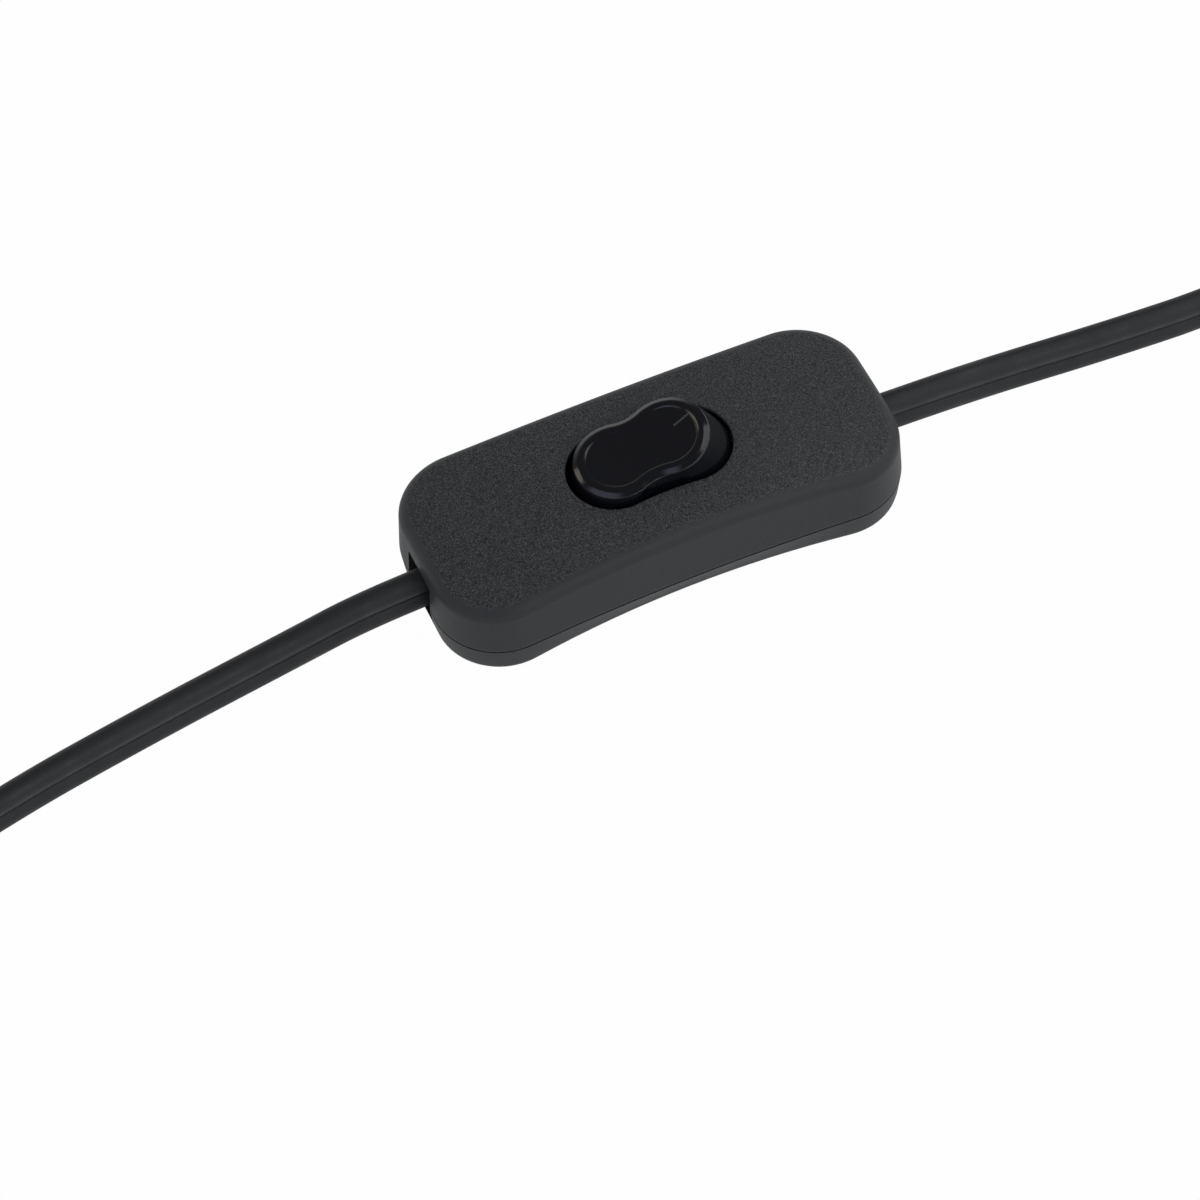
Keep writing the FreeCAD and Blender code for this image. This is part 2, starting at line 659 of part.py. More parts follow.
def seat_on_fulcrum(item):
    """Carries a piece from the see-saw's own frame to its rest pose: right end down, contact open."""
    turn = Rotation(Vector(0, 1, 0), S.blade_tilt.value)
    item.Placement = Placement(Vector(0, 0, S.fulcrum_height.value), turn)
    tie(item, "Placement.Base.z", S.fulcrum_height)
    tie(item, "Placement.Rotation.Angle", S.blade_tilt)


def draw_rivet(sketch, head_low, head_high, shank_low, shank_high):
    """Half of a contact rivet about the sketch's vertical axis: a wide head and a narrower shank."""
    if head_low.value < shank_low.value:
        points = [(ZERO, head_low), (S.contact_round, head_low), (S.contact_round, head_high),
                  (S.shank_round, head_high), (S.shank_round, shank_high), (ZERO, shank_high)]
    else:
        points = [(ZERO, shank_low), (S.shank_round, shank_low), (S.shank_round, head_low),
                  (S.contact_round, head_low), (S.contact_round, head_high), (ZERO, head_high)]
    draw_polygon(sketch, points)


def make_blade():
    body = new_body("contact_blade")
    half = S.blade_length / 2
    strip = new_sketch(body, "XY_Plane", -(S.blade_thick / 2))
    nose = S.blade_width / 2 - 0.7
    wide = S.blade_width / 2
    draw_polygon(strip, [(-half, -nose), (-half + 0.8, -wide), (half - 0.8, -wide), (half, -nose),
                         (half, nose), (half - 0.8, wide), (-half + 0.8, wide), (-half, nose)])
    pad(body, strip, S.blade_thick)
    inner, outer = S.blade_width / 2 - 0.3, S.axle_length / 2
    for offset in (inner, -outer):
        stub = new_sketch(body, "XZ_Plane", offset)
        draw_circle(stub, ZERO, ZERO, S.axle_round)
        pad(body, stub, outer - inner)
    hole = new_sketch(body, "XY_Plane", S.blade_thick)
    draw_circle(hole, -S.contact_reach, ZERO, S.shank_round)
    pocket(body, hole, S.blade_thick * 2)
    seat_on_fulcrum(body)
    return body


def make_moving_contact():
    """The rivet under the left end of the see-saw."""
    body = new_body("moving_contact")
    sketch = new_sketch(body, "XY_Plane", -(S.blade_thick / 2) - S.contact_head)
    draw_circle(sketch, -S.contact_reach, ZERO, S.contact_round)
    pad(body, sketch, S.contact_head)
    shank = new_sketch(body, "XY_Plane", -(S.blade_thick / 2) - 0.05)
    draw_circle(shank, -S.contact_reach, ZERO, S.shank_round)
    pad(body, shank, S.blade_thick + 0.15)
    seat_on_fulcrum(body)
    return body


def make_fixed_contact():
    """The rivet that the see-saw comes down on."""
    body = new_body("fixed_contact")
    sketch = new_sketch(body, "XZ_Plane")
    draw_rivet(sketch, strip_top, strip_top + S.contact_head, S.floor + 0.02, strip_top)
    revolve(body, sketch)
    reach = S.contact_reach * math.cos(math.radians(S.blade_tilt.value))
    body.Placement = Placement(Vector(-reach.value, 0, 0), Rotation())
    tie(body, "Placement.Base.x", -reach)
    return body


def add_terminal_block(body, side, across):
    """A block with a wire hole along X from its outer face and a threaded hole for its screw from the top."""
    x0, x1 = S.block_start * side, block_end * side
    y = S.block_offset * across
    block = new_sketch(body, "XY_Plane", S.floor)
    draw_box(block, x0, x1, y - S.block_width / 2, y + S.block_width / 2)
    pad(body, block, S.block_height)
    wire = new_sketch(body, "YZ_Plane", x1)
    draw_circle(wire, y, S.wire_height, S.wire_hole)
    pocket(body, wire, S.wire_depth, reverse=side < 0)
    thread = new_sketch(body, "XY_Plane", block_top)
    draw_circle(thread, block_centre * side, y, S.screw_shank + S.screw_hole_gap)
    pocket(body, thread, block_top - S.wire_height)


def make_common_terminal():
    """Right-hand switched terminal: a strip on the floor with two uprights that carry the see-saw's axle."""
    body = new_body("common_terminal")
    strip = new_sketch(body, "XY_Plane", S.floor)
    neck, inner = S.block_start - 0.6, S.block_width / 2 - S.block_offset
    draw_polygon(strip, [(-S.saddle_half, -saddle_outer), (S.block_start + 0.2, -saddle_outer),
                         (S.block_start + 0.2, inner), (neck, inner), (neck, saddle_outer),
                         (-S.saddle_half, saddle_outer)])
    pad(body, strip, S.strip_thick)
    add_terminal_block(body, 1, -1)
    top = S.fulcrum_height + S.axle_round + 0.4
    for offset in (saddle_inner, -saddle_outer):
        upright = new_sketch(body, "XZ_Plane", offset)
        draw_box(upright, -S.saddle_half, S.saddle_half, strip_top - 0.1, top)
        pad(body, upright, S.strip_thick)
    grip = S.axle_round + S.running_gap
    for shape in ("round", "open"):
        slot = new_sketch(body, "XZ_Plane")
        if shape == "round":
            draw_circle(slot, ZERO, S.fulcrum_height, grip)
        else:
            draw_box(slot, -grip, grip, S.fulcrum_height, top + 0.5)
        pocket(body, slot, (saddle_outer + 0.5) * 2, symmetric=True)
    return body


def make_fixed_terminal():
    """Left-hand switched terminal: its strip carries the fixed contact under the see-saw."""
    body = new_body("fixed_terminal")
    strip = new_sketch(body, "XY_Plane", S.floor)
    reach = S.contact_reach - S.contact_round - 0.4
    neck, inner = S.block_start - 0.6, S.block_width / 2 - S.block_offset
    side = S.contact_round + 0.4
    draw_polygon(strip, [(-(S.block_start + 0.2), -saddle_outer), (-reach, -saddle_outer), (-reach, side),
                         (-neck, side), (-neck, inner), (-(S.block_start + 0.2), inner)])
    pad(body, strip, S.strip_thick)
    add_terminal_block(body, -1, -1)
    hole = new_sketch(body, "XY_Plane", strip_top)
    place = S.contact_reach * math.cos(math.radians(S.blade_tilt.value))
    draw_circle(hole, -place, ZERO, S.shank_round)
    pocket(body, hole, S.strip_thick)
    return body


def make_neutral_link():
    """The core that isn't switched passes through this link: two blocks joined by a strip."""
    body = new_body("neutral_link")
    strip = new_sketch(body, "XY_Plane", S.floor)
    draw_box(strip, -(S.block_start + 0.2), S.block_start + 0.2, S.link_inner, S.link_outer)
    pad(body, strip, S.strip_thick)
    for side in (1, -1):
        add_terminal_block(body, side, 1)
    return body


# Screws and cord clamps

def make_screw(label, x, y, seat, head_round, head_height, shank, length, up):
    """A turned screw with a slotted head; up is +1 where the head is on top, -1 where it is below."""
    body = new_body(label)
    sketch = new_sketch(body, "XZ_Plane")
    edge = Size(0.3)
    head_top = head_height * up
    tip = -(length * up)
    draw_polygon(sketch, [(ZERO, head_top), (head_round - edge, head_top),
                          (head_round, (head_height - edge) * up), (head_round, ZERO), (shank, ZERO),
                          (shank, tip + edge * up), (shank - edge, tip), (ZERO, tip)])
    revolve(body, sketch)
    slot = new_sketch(body, "XY_Plane", head_top)
    draw_box(slot, -(head_round + 0.2), head_round + 0.2, -(S.drive_slot / 2), S.drive_slot / 2)
    pocket(body, slot, S.drive_depth, reverse=up < 0)
    body.Placement = Placement(Vector(float(x), float(y), float(seat)), Rotation())
    tie(body, "Placement.Base.x", x)
    tie(body, "Placement.Base.y", y)
    tie(body, "Placement.Base.z", seat)
    return body


def make_clamp_bar(label, side):
    body = new_body(label)
    sketch = new_sketch(body, "XY_Plane", clamp_bottom)
    x = clamp_reach * side
    half_x, half_y = S.clamp_width / 2, S.clamp_length / 2
    cut = S.clamp_corner
    draw_polygon(sketch, [(x - half_x, -half_y + cut), (x - half_x + cut, -half_y),
                          (x + half_x - cut, -half_y), (x + half_x, -half_y + cut),
                          (x + half_x, half_y - cut), (x + half_x - cut, half_y),
                          (x - half_x + cut, half_y), (x - half_x, half_y - cut)])
    pad(body, sketch, S.clamp_thick)
    for across in (1, -1):
        hole = new_sketch(body, "XY_Plane", clamp_bottom + S.clamp_thick)
        draw_circle(hole, x, clamp_screw_y * across, S.screw_shank + 0.2)
        pocket(body, hole, S.clamp_thick)
    return body


# Cords, cores and strands

def rounded_route(points):
    """Straight runs joined by tangent arcs, each as large as its two runs allow.

    An arc's radius is 0.45 of the shorter run divided by the tangent of half the turn.
    """
    points = [Vector(*point) for point in points]
    edges, radii = [], []
    start = points[0]
    for before, here, after in zip(points, points[1:], points[2:]):
        back, ahead = before - here, after - here
        reach = 0.45 * min(back.Length, ahead.Length)
        turn = math.pi - back.getAngle(ahead)
        back.normalize()
        ahead.normalize()
        radii.append(reach / math.tan(turn / 2))
        first, last = here + back * reach, here + ahead * reach
        inward = back + ahead
        inward.normalize()
        middle = here + inward * (radii[-1] / math.cos(turn / 2) - radii[-1])
        edges.append(Part.LineSegment(start, first).toShape())
        edges.append(Part.Arc(first, middle, last).toShape())
        start = last
    edges.append(Part.LineSegment(start, points[-1]).toShape())
    return Part.Wire(edges), radii


def make_tube(label, points, profile, upright):
    """Carries a profile along the route; upright keeps the profile's wide axis along Z."""
    path, radii = rounded_route(points)
    shell = Part.BRepOffsetAPI.MakePipeShell(path)
    if upright:
        shell.setBiNormalMode(Vector(0, 0, 1))
    shell.add(profile)
    shell.build()
    shell.makeSolid()
    feature = doc.addObject("Part::Feature", label)
    feature.Shape = Part.Solid(shell.shape())
    feature.Label = label
    area = Part.Face(profile).Area
    print("%s: length %.1f, volume %.1f against %.1f, radii %s"
          % (label, path.Length, feature.Shape.Volume, area * path.Length, [round(r, 1) for r in radii]))
    return feature


def twin_profile(x, y, z):
    """The flat cord's outline across X, on edge: two round cores side by side under one skin."""
    radius = S.cord_thickness.value / 2
    upper, lower = Vector(x, y, z + radius), Vector(x, y, z - radius)
    side = Vector(0, radius, 0)
    lift = Vector(0, 0, radius)
    return Part.Wire([Part.Arc(upper - side, upper + lift, upper + side).toShape(),
                      Part.LineSegment(upper + side, lower + side).toShape(),
                      Part.Arc(lower + side, lower - lift, lower - side).toShape(),
                      Part.LineSegment(lower - side, upper - side).toShape()])


# Hand-chosen routes of the two leads, from where they divide inside the housing to their stripped ends
resting = cord_thickness + 0.05
LEFT_ROUTE = [(-cord_end.value, 0.0, cord_level), (-36.5, 0.0, cord_level), (-49.0, -0.4, resting),
              (-66.5, -2.8, resting), (-88.0, -6.4, resting), (-115.0, -13.8, resting),
              (-141.0, -24.2, resting)]
RIGHT_ROUTE = [(cord_end.value, 0.0, cord_level), (36.5, 0.0, cord_level), (48.0, 0.2, resting),
               (62.5, -0.95, resting), (80.0, -1.9, resting), (103.0, 0.9, resting), (128.0, 8.2, resting),
               (144.0, 16.2, resting)]


def make_cord(label, route):
    return make_tube(label, route, twin_profile(*route[0]), True)


def make_tinned_ends(label, route):
    """The two conductors stand out of the cut end of the cord, stripped and tinned."""
    end, before = Vector(*route[-1]), Vector(*route[-2])
    heading_out = end - before
    heading_out.normalize()
    lift = Vector(0, 0, S.cord_thickness.value / 2)
    pins = [Part.makeCylinder(S.tinned_round.value, S.tinned_length.value, end + lift * sign, heading_out)
            for sign in (1, -1)]
    feature = doc.addObject("Part::Feature", label)
    feature.Shape = Part.makeCompound(pins)
    feature.Label = label
    return feature


def make_core(label, side, across):
    """One insulated core from the end of the cord to its terminal block, swinging aside in an S.

    The lower core swings out first, so that the upper one can come down beside it.
    """
    level = S.cord_level.value + across * S.cord_thickness.value / 2
    start, stop = cord_end.value, block_end.value + 0.4
    straight = (0.38 if across > 0 else 0.17) * (start - stop)
    landing = 0.29 * (start - stop)
    y = S.block_offset.value * across
    points = [(start * side, 0, level), ((start - straight) * side, 0, level),
              ((stop + landing) * side, y, S.wire_height.value), (stop * side, y, S.wire_height.value)]
    centre = Vector(*points[0])
    profile = Part.Wire(Part.makeCircle(S.core_round.value, centre, Vector(1, 0, 0)))
    return make_tube(label, points, profile, False)


def make_strands(label, side, across):
    """The bare end of a core inside its terminal block."""
    rod = doc.addObject("Part::Cylinder", label)
    rod.Label = label
    length = S.wire_depth + 0.2
    tie(rod, "Radius", S.strand_round)
    tie(rod, "Height", length)
    x = block_end + 0.4 if side < 0 else block_end + 0.4 - length
    rod.Placement = Placement(Vector(), Rotation(Vector(0, 1, 0), 90))
    tie(rod, "Placement.Base.x", x if side > 0 else -x)
    tie(rod, "Placement.Base.y", S.block_offset * across)
    tie(rod, "Placement.Base.z", S.wire_height)
    return rod


SIDES = (("left", -1), ("right", 1))
parts = [make_top_cover(), make_base_cover(), make_rocker(), make_plunger(), make_spring(), make_blade(),
         make_moving_contact(), make_fixed_contact(), make_common_terminal(), make_fixed_terminal(),
         make_neutral_link()]
for word, side in SIDES:
    for name, across in (("live", -1), ("neutral", 1)):
        parts.append(make_screw("%s_screw_%s" % (name, word), block_centre * side, S.block_offset * across,
                                block_top, S.screw_head, S.screw_head_height, S.screw_shank,
                                block_top - S.wire_height - S.strand_round - 0.05, 1))
        parts.append(make_core("%s_core_%s" % (name, word), side, across))
        parts.append(make_strands("%s_strands_%s" % (name, word), side, across))
    parts.append(make_clamp_bar("clamp_bar_" + word, side))
    for place, across in (("front", -1), ("rear", 1)):
        parts.append(make_screw("clamp_screw_%s_%s" % (word, place), clamp_reach * side,
                                clamp_screw_y * across, clamp_bottom + S.clamp_thick, S.screw_head,
                                S.screw_head_height, S.screw_shank, S.clamp_screw_length, 1))
    parts.append(make_screw("case_screw_" + word, case_screw_x * side, case_screw_y * -side, S.case_seat,
                            S.case_head, S.case_head_height, S.case_shank, S.case_screw_length, -1))
for word, route in (("left", LEFT_ROUTE), ("right", RIGHT_ROUTE)):
    parts.append(make_cord("cord_" + word, route))
    parts.append(make_tinned_ends("tinned_ends_" + word, route))
doc.recompute()


def find_faults():
    """Names every object that failed, every invalid shape and every cut or pad that changed nothing."""
    faults = []
    for item in doc.Objects:
        if "Invalid" in item.State or "Error" in item.State:
            faults.append("%s failed: %s" % (item.Label, item.State))
        base = getattr(item, "BaseFeature", None)
        if base is None or item.TypeId == "PartDesign::Body":
            continue
        change = item.Shape.Volume - base.Shape.Volume
        cuts = item.TypeId.split("::")[1] in ("Pocket", "SubtractiveLoft", "Groove", "Fillet")
        if (cuts and change > -1e-4) or (not cuts and change < 1e-4):
            faults.append("%s changed its body by %.4f" % (item.Name, change))
    for part in parts:
        if part.Shape.isNull() or not part.Shape.isValid():
            faults.append("%s has no valid shape" % part.Label)
    return faults


faults = find_faults()
for fault in faults:
    print(fault)
if faults:
    raise RuntimeError("the model has %d faults" % len(faults))
os.makedirs("parts", exist_ok=True)
for part in parts:
    part.Shape.exportStep("parts/%s.step" % part.Label)
    print("%-22s solids %d, volume %8.2f" % (part.Label, len(part.Shape.Solids), part.Shape.Volume))
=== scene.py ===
"""Looks of an inline cord switch: a grained housing, a polished rocker and a flat twin cord on edge.

All sizes in the functions are millimetres in the part's frame: origin under the middle of the housing,
+X along the cord, +Z up out of the rocker. Meshes are written in metres.
"""

import math

import bmesh
import bpy
import numpy as np
from bpy.props import FloatProperty, FloatVectorProperty, PointerProperty
from mathutils import Matrix, Vector


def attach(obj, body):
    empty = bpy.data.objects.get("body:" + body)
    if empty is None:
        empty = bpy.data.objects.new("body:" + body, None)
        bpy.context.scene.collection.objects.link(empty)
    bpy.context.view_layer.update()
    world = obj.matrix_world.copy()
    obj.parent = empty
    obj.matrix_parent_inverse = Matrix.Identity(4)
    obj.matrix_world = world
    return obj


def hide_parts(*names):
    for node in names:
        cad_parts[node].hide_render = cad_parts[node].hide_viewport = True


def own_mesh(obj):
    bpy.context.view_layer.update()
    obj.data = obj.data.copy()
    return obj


bl_info = {
    "name": "Inline cord switch",
    "version": (1, 0, 0),
    "blender": (4, 5, 0),
    "location": "View3D > Sidebar > Cord switch",
    "description": "Builds the housing, rocker, cords and stage of an inline cord switch",
    "category": "Object",
}

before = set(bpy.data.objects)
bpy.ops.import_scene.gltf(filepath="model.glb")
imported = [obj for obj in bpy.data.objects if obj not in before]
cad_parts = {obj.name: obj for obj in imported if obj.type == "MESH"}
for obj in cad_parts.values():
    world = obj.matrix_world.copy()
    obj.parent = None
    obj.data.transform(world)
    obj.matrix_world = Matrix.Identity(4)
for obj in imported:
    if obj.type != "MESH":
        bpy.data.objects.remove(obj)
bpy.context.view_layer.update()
MM = 0.001


# Colour

def linear(code):
    """Linear RGBA of an sRGB hex colour: below 0.04045 a straight line, above it a power of 2.4."""
    parts = np.array([int(code[i:i + 2], 16) for i in (1, 3, 5)]) / 255
    low, high = parts / 12.92, ((parts + 0.055) / 1.055) ** 2.4
    return (*[float(v) for v in np.where(parts <= 0.04045, low, high)], 1.0)


# Settings that a user would change

def length(name, description, millimetres):
    """A setting that is a length, kept in metres."""
    return FloatProperty(name=name, description=description, default=millimetres * MM, min=0.0,
                         precision=5, subtype="DISTANCE", unit="LENGTH")


def colour(name, description, code):
    """A setting that is a colour, its default given as an sRGB hex value."""
    return FloatVectorProperty(name=name, description=description, default=linear(code), size=4,
                               min=0.0, max=1.0, subtype="COLOR")


class HousingSettings(bpy.types.PropertyGroup):
    """Sizes and finish of the housing's two covers"""

    length: length("Length", "Over the ends of the housing", 62.0)
    width: length("Width", "At its widest, near the ends", 26.6)
    height: length("Height", "At the middle of the crowned top", 14.15)
    corner: length("Corner radius", "Of the four corners in plan", 8.6)
    seam: length("Seam height", "Height of the parting line", 4.42)
    rounding: length("Edge rounding", "Radius of the upper edge", 1.95)
    crown: length("Crown", "How much lower the top is at the ends", 2.5)
    camber: length("Camber", "How much lower the top is over its widest place", 1.15)
    grain: FloatProperty(name="Grain", description="Depth of the spark-eroded grain", default=1.0, min=0.0)
    plastic: colour("Plastic", "Colour of the housing's black plastic", "#2A2C2E")


# The rocker's lean at rest, left end pressed, which the plunger in its tube shares
REST_TILT = math.radians(10.0)


class RockerSettings(bpy.types.PropertyGroup):
    """Rest pose, border and colours of the rocker"""

    tilt: FloatProperty(name="Tilt", description="Rest tilt, left end pressed", default=REST_TILT,
                        subtype="ANGLE", unit="ROTATION")
    edge: length("Edge level", "Height of the rim's sharp edge above the axis", 5.61)
    rim: length("Rim width", "Width of the raised border beside the waist", 1.5)
    plastic: colour("Plastic", "Colour of the polished rocker", "#0B0C12")
    mark: colour("Mark", "Colour of the ON mark", "#3C3D42")


class CordSettings(bpy.types.PropertyGroup):
    """Section and colour of the flat twin cord"""

    thickness: length("Thickness", "One core of the flat cord over its skin", 3.05)
    web: FloatProperty(name="Web", description="Web's half thickness as a share of a core's radius",
                       default=0.70, min=0.3, max=1.0)
    skin: colour("Skin", "Colour of the cord's flexible skin", "#181A1D")


class StageSettings(bpy.types.PropertyGroup):
    """Camera, light and background"""

    lens: FloatProperty(name="Lens", description="Focal length", default=126.72, unit="CAMERA")
    key: FloatProperty(name="Key light", description="Power of the main soft light", default=0.9,
                       subtype="POWER", unit="POWER")
    backdrop: colour("Backdrop", "Colour of the floor and the background", "#FFFFFF")


# Meshes from arrays

# In metres: points nearer than the first are one, and edges shorter than the second are dissolved
DOUBLES, SLIVERS = 2e-7, 1e-7


def new_piece(name, points, faces, smooth=35.0, close=True):
    """A mesh piece from points in millimetres and quads, doubles merged. A closed shell also loses its
    slivers and gets its normals outwards. Edges that bend by more than smooth degrees stay sharp."""
    mesh = bpy.data.meshes.new(name)
    mesh.from_pydata((points * MM).tolist(), [], faces.tolist())
    work = bmesh.new()
    work.from_mesh(mesh)
    bmesh.ops.remove_doubles(work, verts=work.verts, dist=DOUBLES)
    if close:
        bmesh.ops.dissolve_degenerate(work, edges=work.edges, dist=SLIVERS)
        bmesh.ops.recalc_face_normals(work, faces=work.faces)
    work.to_mesh(mesh)
    work.free()
    mesh.polygons.foreach_set("use_smooth", np.ones(len(mesh.polygons), bool))
    mesh.set_sharp_from_angle(angle=math.radians(smooth))
    mesh.validate()
    piece = bpy.data.objects.new(name, mesh)
    bpy.context.scene.collection.objects.link(piece)
    return piece


def quads(rows, columns, wrap_rows=False, wrap_columns=True):
    """Faces between neighbours in a grid of rows by columns, wrapped round where asked."""
    r = np.arange(rows if wrap_rows else rows - 1)[:, None]
    c = np.arange(columns if wrap_columns else columns - 1)[None, :]
    r1, c1 = (r + 1) % rows, (c + 1) % columns
    corners = [r * columns + c, r * columns + c1, r1 * columns + c1, r1 * columns + c]
    return np.stack([np.broadcast_to(k, (r.size, c.size)) for k in corners], -1).reshape(-1, 4)


def grid_piece(name, grid, wrap_rows=False, wrap_columns=True, smooth=35.0, close=True):
    """A mesh piece from a grid of points: rows by columns by three."""
    rows, columns = grid.shape[:2]
    return new_piece(name, grid.reshape(-1, 3), quads(rows, columns, wrap_rows, wrap_columns), smooth, close)


def row(plan, z):
    """A row of points over a plan, at one height or at one for each of them."""
    return np.column_stack([plan, np.broadcast_to(z, len(plan))])


# Plans of the housing and the rocker

def on_arc(cx, cy, radius, angle, outward=1.0):
    """Points of an arc and the plan's outward normals there."""
    direction = np.stack([np.cos(angle), np.sin(angle)], -1)
    centre = np.stack(np.broadcast_arrays(cx, cy), -1)
    radius = np.asarray(radius)[..., None]
    return centre + radius * direction, outward * direction


def waisted_box(house, inset, waist, shares):
    """The housing's plan, anticlockwise: a straight end, a corner arc, one wide inward arc along the side,
    a corner arc, and the same again. The side arc touches both corner arcs, so with corner centre (a, b),
    corner radius R and waist w its radius is (a*a - 2*R*w + w*w) / (2*w). shares holds the places along
    the straight end (-1 to 1), the corners and the sides (0 to 1), the same at every level, so that levels
    can be joined point by point."""
    ends, corners, sides = shares
    half_length, half_width, corner = house
    a, b = half_length - corner, half_width - corner
    radius = corner - inset
    wide = (a * a - 2 * radius * waist + waist * waist) / (2 * waist)
    reach = half_width - inset - waist + wide
    turn = math.atan2(reach - b, -a)
    plan, normal = [], []
    for sign in (1, -1):
        line = np.stack([np.full_like(ends, half_length - inset), ends * b], -1) * sign
        plan.append(line)
        normal.append(np.tile([float(sign), 0.0], (len(ends), 1)))
        pieces = [on_arc(a, b, radius, corners * turn),
                  on_arc(0.0, reach, wide, (turn - math.pi) + sides * (math.pi - 2 * turn), -1.0),
                  on_arc(-a, b, radius, (math.pi - turn) + corners * turn)]
        for point, direction in pieces:
            plan.append(point * sign)
            normal.append(direction * sign)
    return np.concatenate(plan), np.concatenate(normal)


def peanut(half, end_round, waist, segment, share):
    """Two round ends joined by an inward arc on each side. half, end_round and waist may differ from
    column to column; segment (0 to 3) and share (0 to 1) say where each column lies."""
    half, end_round, waist = np.broadcast_arrays(half, end_round, waist)
    cx = half - end_round
    wide = (cx * cx + waist * waist - end_round * end_round) / (2 * (end_round - waist))
    reach = waist + wide
    turn = np.arctan2(reach, -cx)
    options = [on_arc(cx, 0.0, end_round, -turn + share * 2 * turn),
               on_arc(0.0, reach, wide, (turn - math.pi) + share * (math.pi - 2 * turn), -1.0),
               on_arc(-cx, 0.0, end_round, (math.pi - turn) + share * 2 * turn),
               on_arc(0.0, -reach, wide, turn + share * (math.pi - 2 * turn), -1.0)]
    point = np.choose(segment[:, None], [option[0] for option in options])
    normal = np.choose(segment[:, None], [option[1] for option in options])
    return point, normal


def peanut_columns(ends=96, sides=64):
    """The arc of a peanut that each column lies on, 0 to 3, and its even share along that arc."""
    segment = np.repeat([0, 1, 2, 3], [ends, sides, ends, sides])
    share = np.concatenate([np.arange(n) / n for n in (ends, sides, ends, sides)])
    return segment, share


# Top cover

# Cord slots in the two ends: half width, height and corner radius of the upper edge, and the distance from
# the middle past which a column lies on an end
SLOT_HALF, SLOT_TOP, SLOT_CORNER, SLOT_REACH = 3.3, 8.6, 0.5, 25.0
# The wall runs between a plan at the seam and a smaller one that lies TRIM above the housing's height
SEAM_WAIST, TOP_WAIST, TOP_INSET, TRIM = 0.75, 0.55, 0.6, 0.6
# Shadow gap over the seam, and the lift and inset of the rows that break the wall's lower edge
SEAM_GAP, LOWER_EDGE = 0.12, ((0.0, 0.14), (0.04, 0.04), (0.14, 0.0))
# The rocker's opening: half length, end radius and half waist, the rounding of its edge, the depth of its
# lip below the housing's height, and the step behind the lip
OPENING = (10.6, 5.91, 5.66)
LIP_ROUND, LIP_DEPTH, LIP_STEP = 0.22, 0.8, 0.65
# Inside: thickness of the wall and of the roof, how far the wall starts below the roof, how far the ceiling's
# plan lies below the upper edge's rounding, and the broken lower edge
WALL, ROOF, ROOF_CORNER, CEILING_SINK, INNER_BREAK = 1.7, 1.5, 0.6, 0.4, 0.1
WALL_ROWS, EDGE_ROWS, TOP_ROWS = 16, 19, 30
# Depth below the crowned top over which the coarse grain, and the painted shade, highlights and glints that
# go with it, fade out
GRAIN_EDGE = 0.12


def crowned(settings, places):
    """Height of the top over a place: an arc across the housing, c(y) = h - C + sqrt(C*C - y*y), turned
    about an axis R below the middle, so that with q = c(y) - h + R it is h - R + sqrt(q*q - x*x)."""
    half, wide, height = settings.length / MM / 2, settings.width / MM / 2, settings.height / MM
    crown, camber = settings.crown / MM, settings.camber / MM
    arch = (half ** 2 + crown ** 2) / (2 * crown)
    across = (wide ** 2 + camber ** 2) / (2 * camber)
    reach = arch - across + np.sqrt(across ** 2 - places[:, 1] ** 2)
    return height - arch + np.sqrt(reach ** 2 - places[:, 0] ** 2)


def cover_columns(straight, ends=23, corners=40, sides=110):
    """Places of the columns round the cover: even steps along a straight end of the given half width, a
    corner and a side. More columns at each side of the cord slots keep the slots' edges crisp."""
    edge, pair = np.array([-SLOT_HALF, SLOT_HALF]), 0.012
    extra = [edge - pair, edge + pair, edge - SLOT_CORNER, edge + SLOT_CORNER, edge * 0.93, edge * 0.97]
    places = np.concatenate([np.linspace(-1, 1, ends)[:-1], np.concatenate(extra) / straight])
    places = np.unique(np.round(places, 6))
    places = places[(places >= -1) & (places < 1)]
    return places, np.linspace(0, 1, corners, endpoint=False), np.linspace(0, 1, sides, endpoint=False)


def slot_edge(plan, level):
    """Lower edge of the cover's wall, column by column: the seam, or over the cords the slot's upper edge.
    In a corner of radius R, at d past its start, that edge is lower by R - sqrt(R*R - d*d)."""
    y = np.abs(plan[:, 1])
    inside = (y < SLOT_HALF) & (np.abs(plan[:, 0]) > SLOT_REACH)
    past = np.clip(y - (SLOT_HALF - SLOT_CORNER), 0, SLOT_CORNER)
    drop = SLOT_CORNER - np.sqrt(np.clip(SLOT_CORNER ** 2 - past ** 2, 0, None))
    return np.where(inside, SLOT_TOP - drop, level)


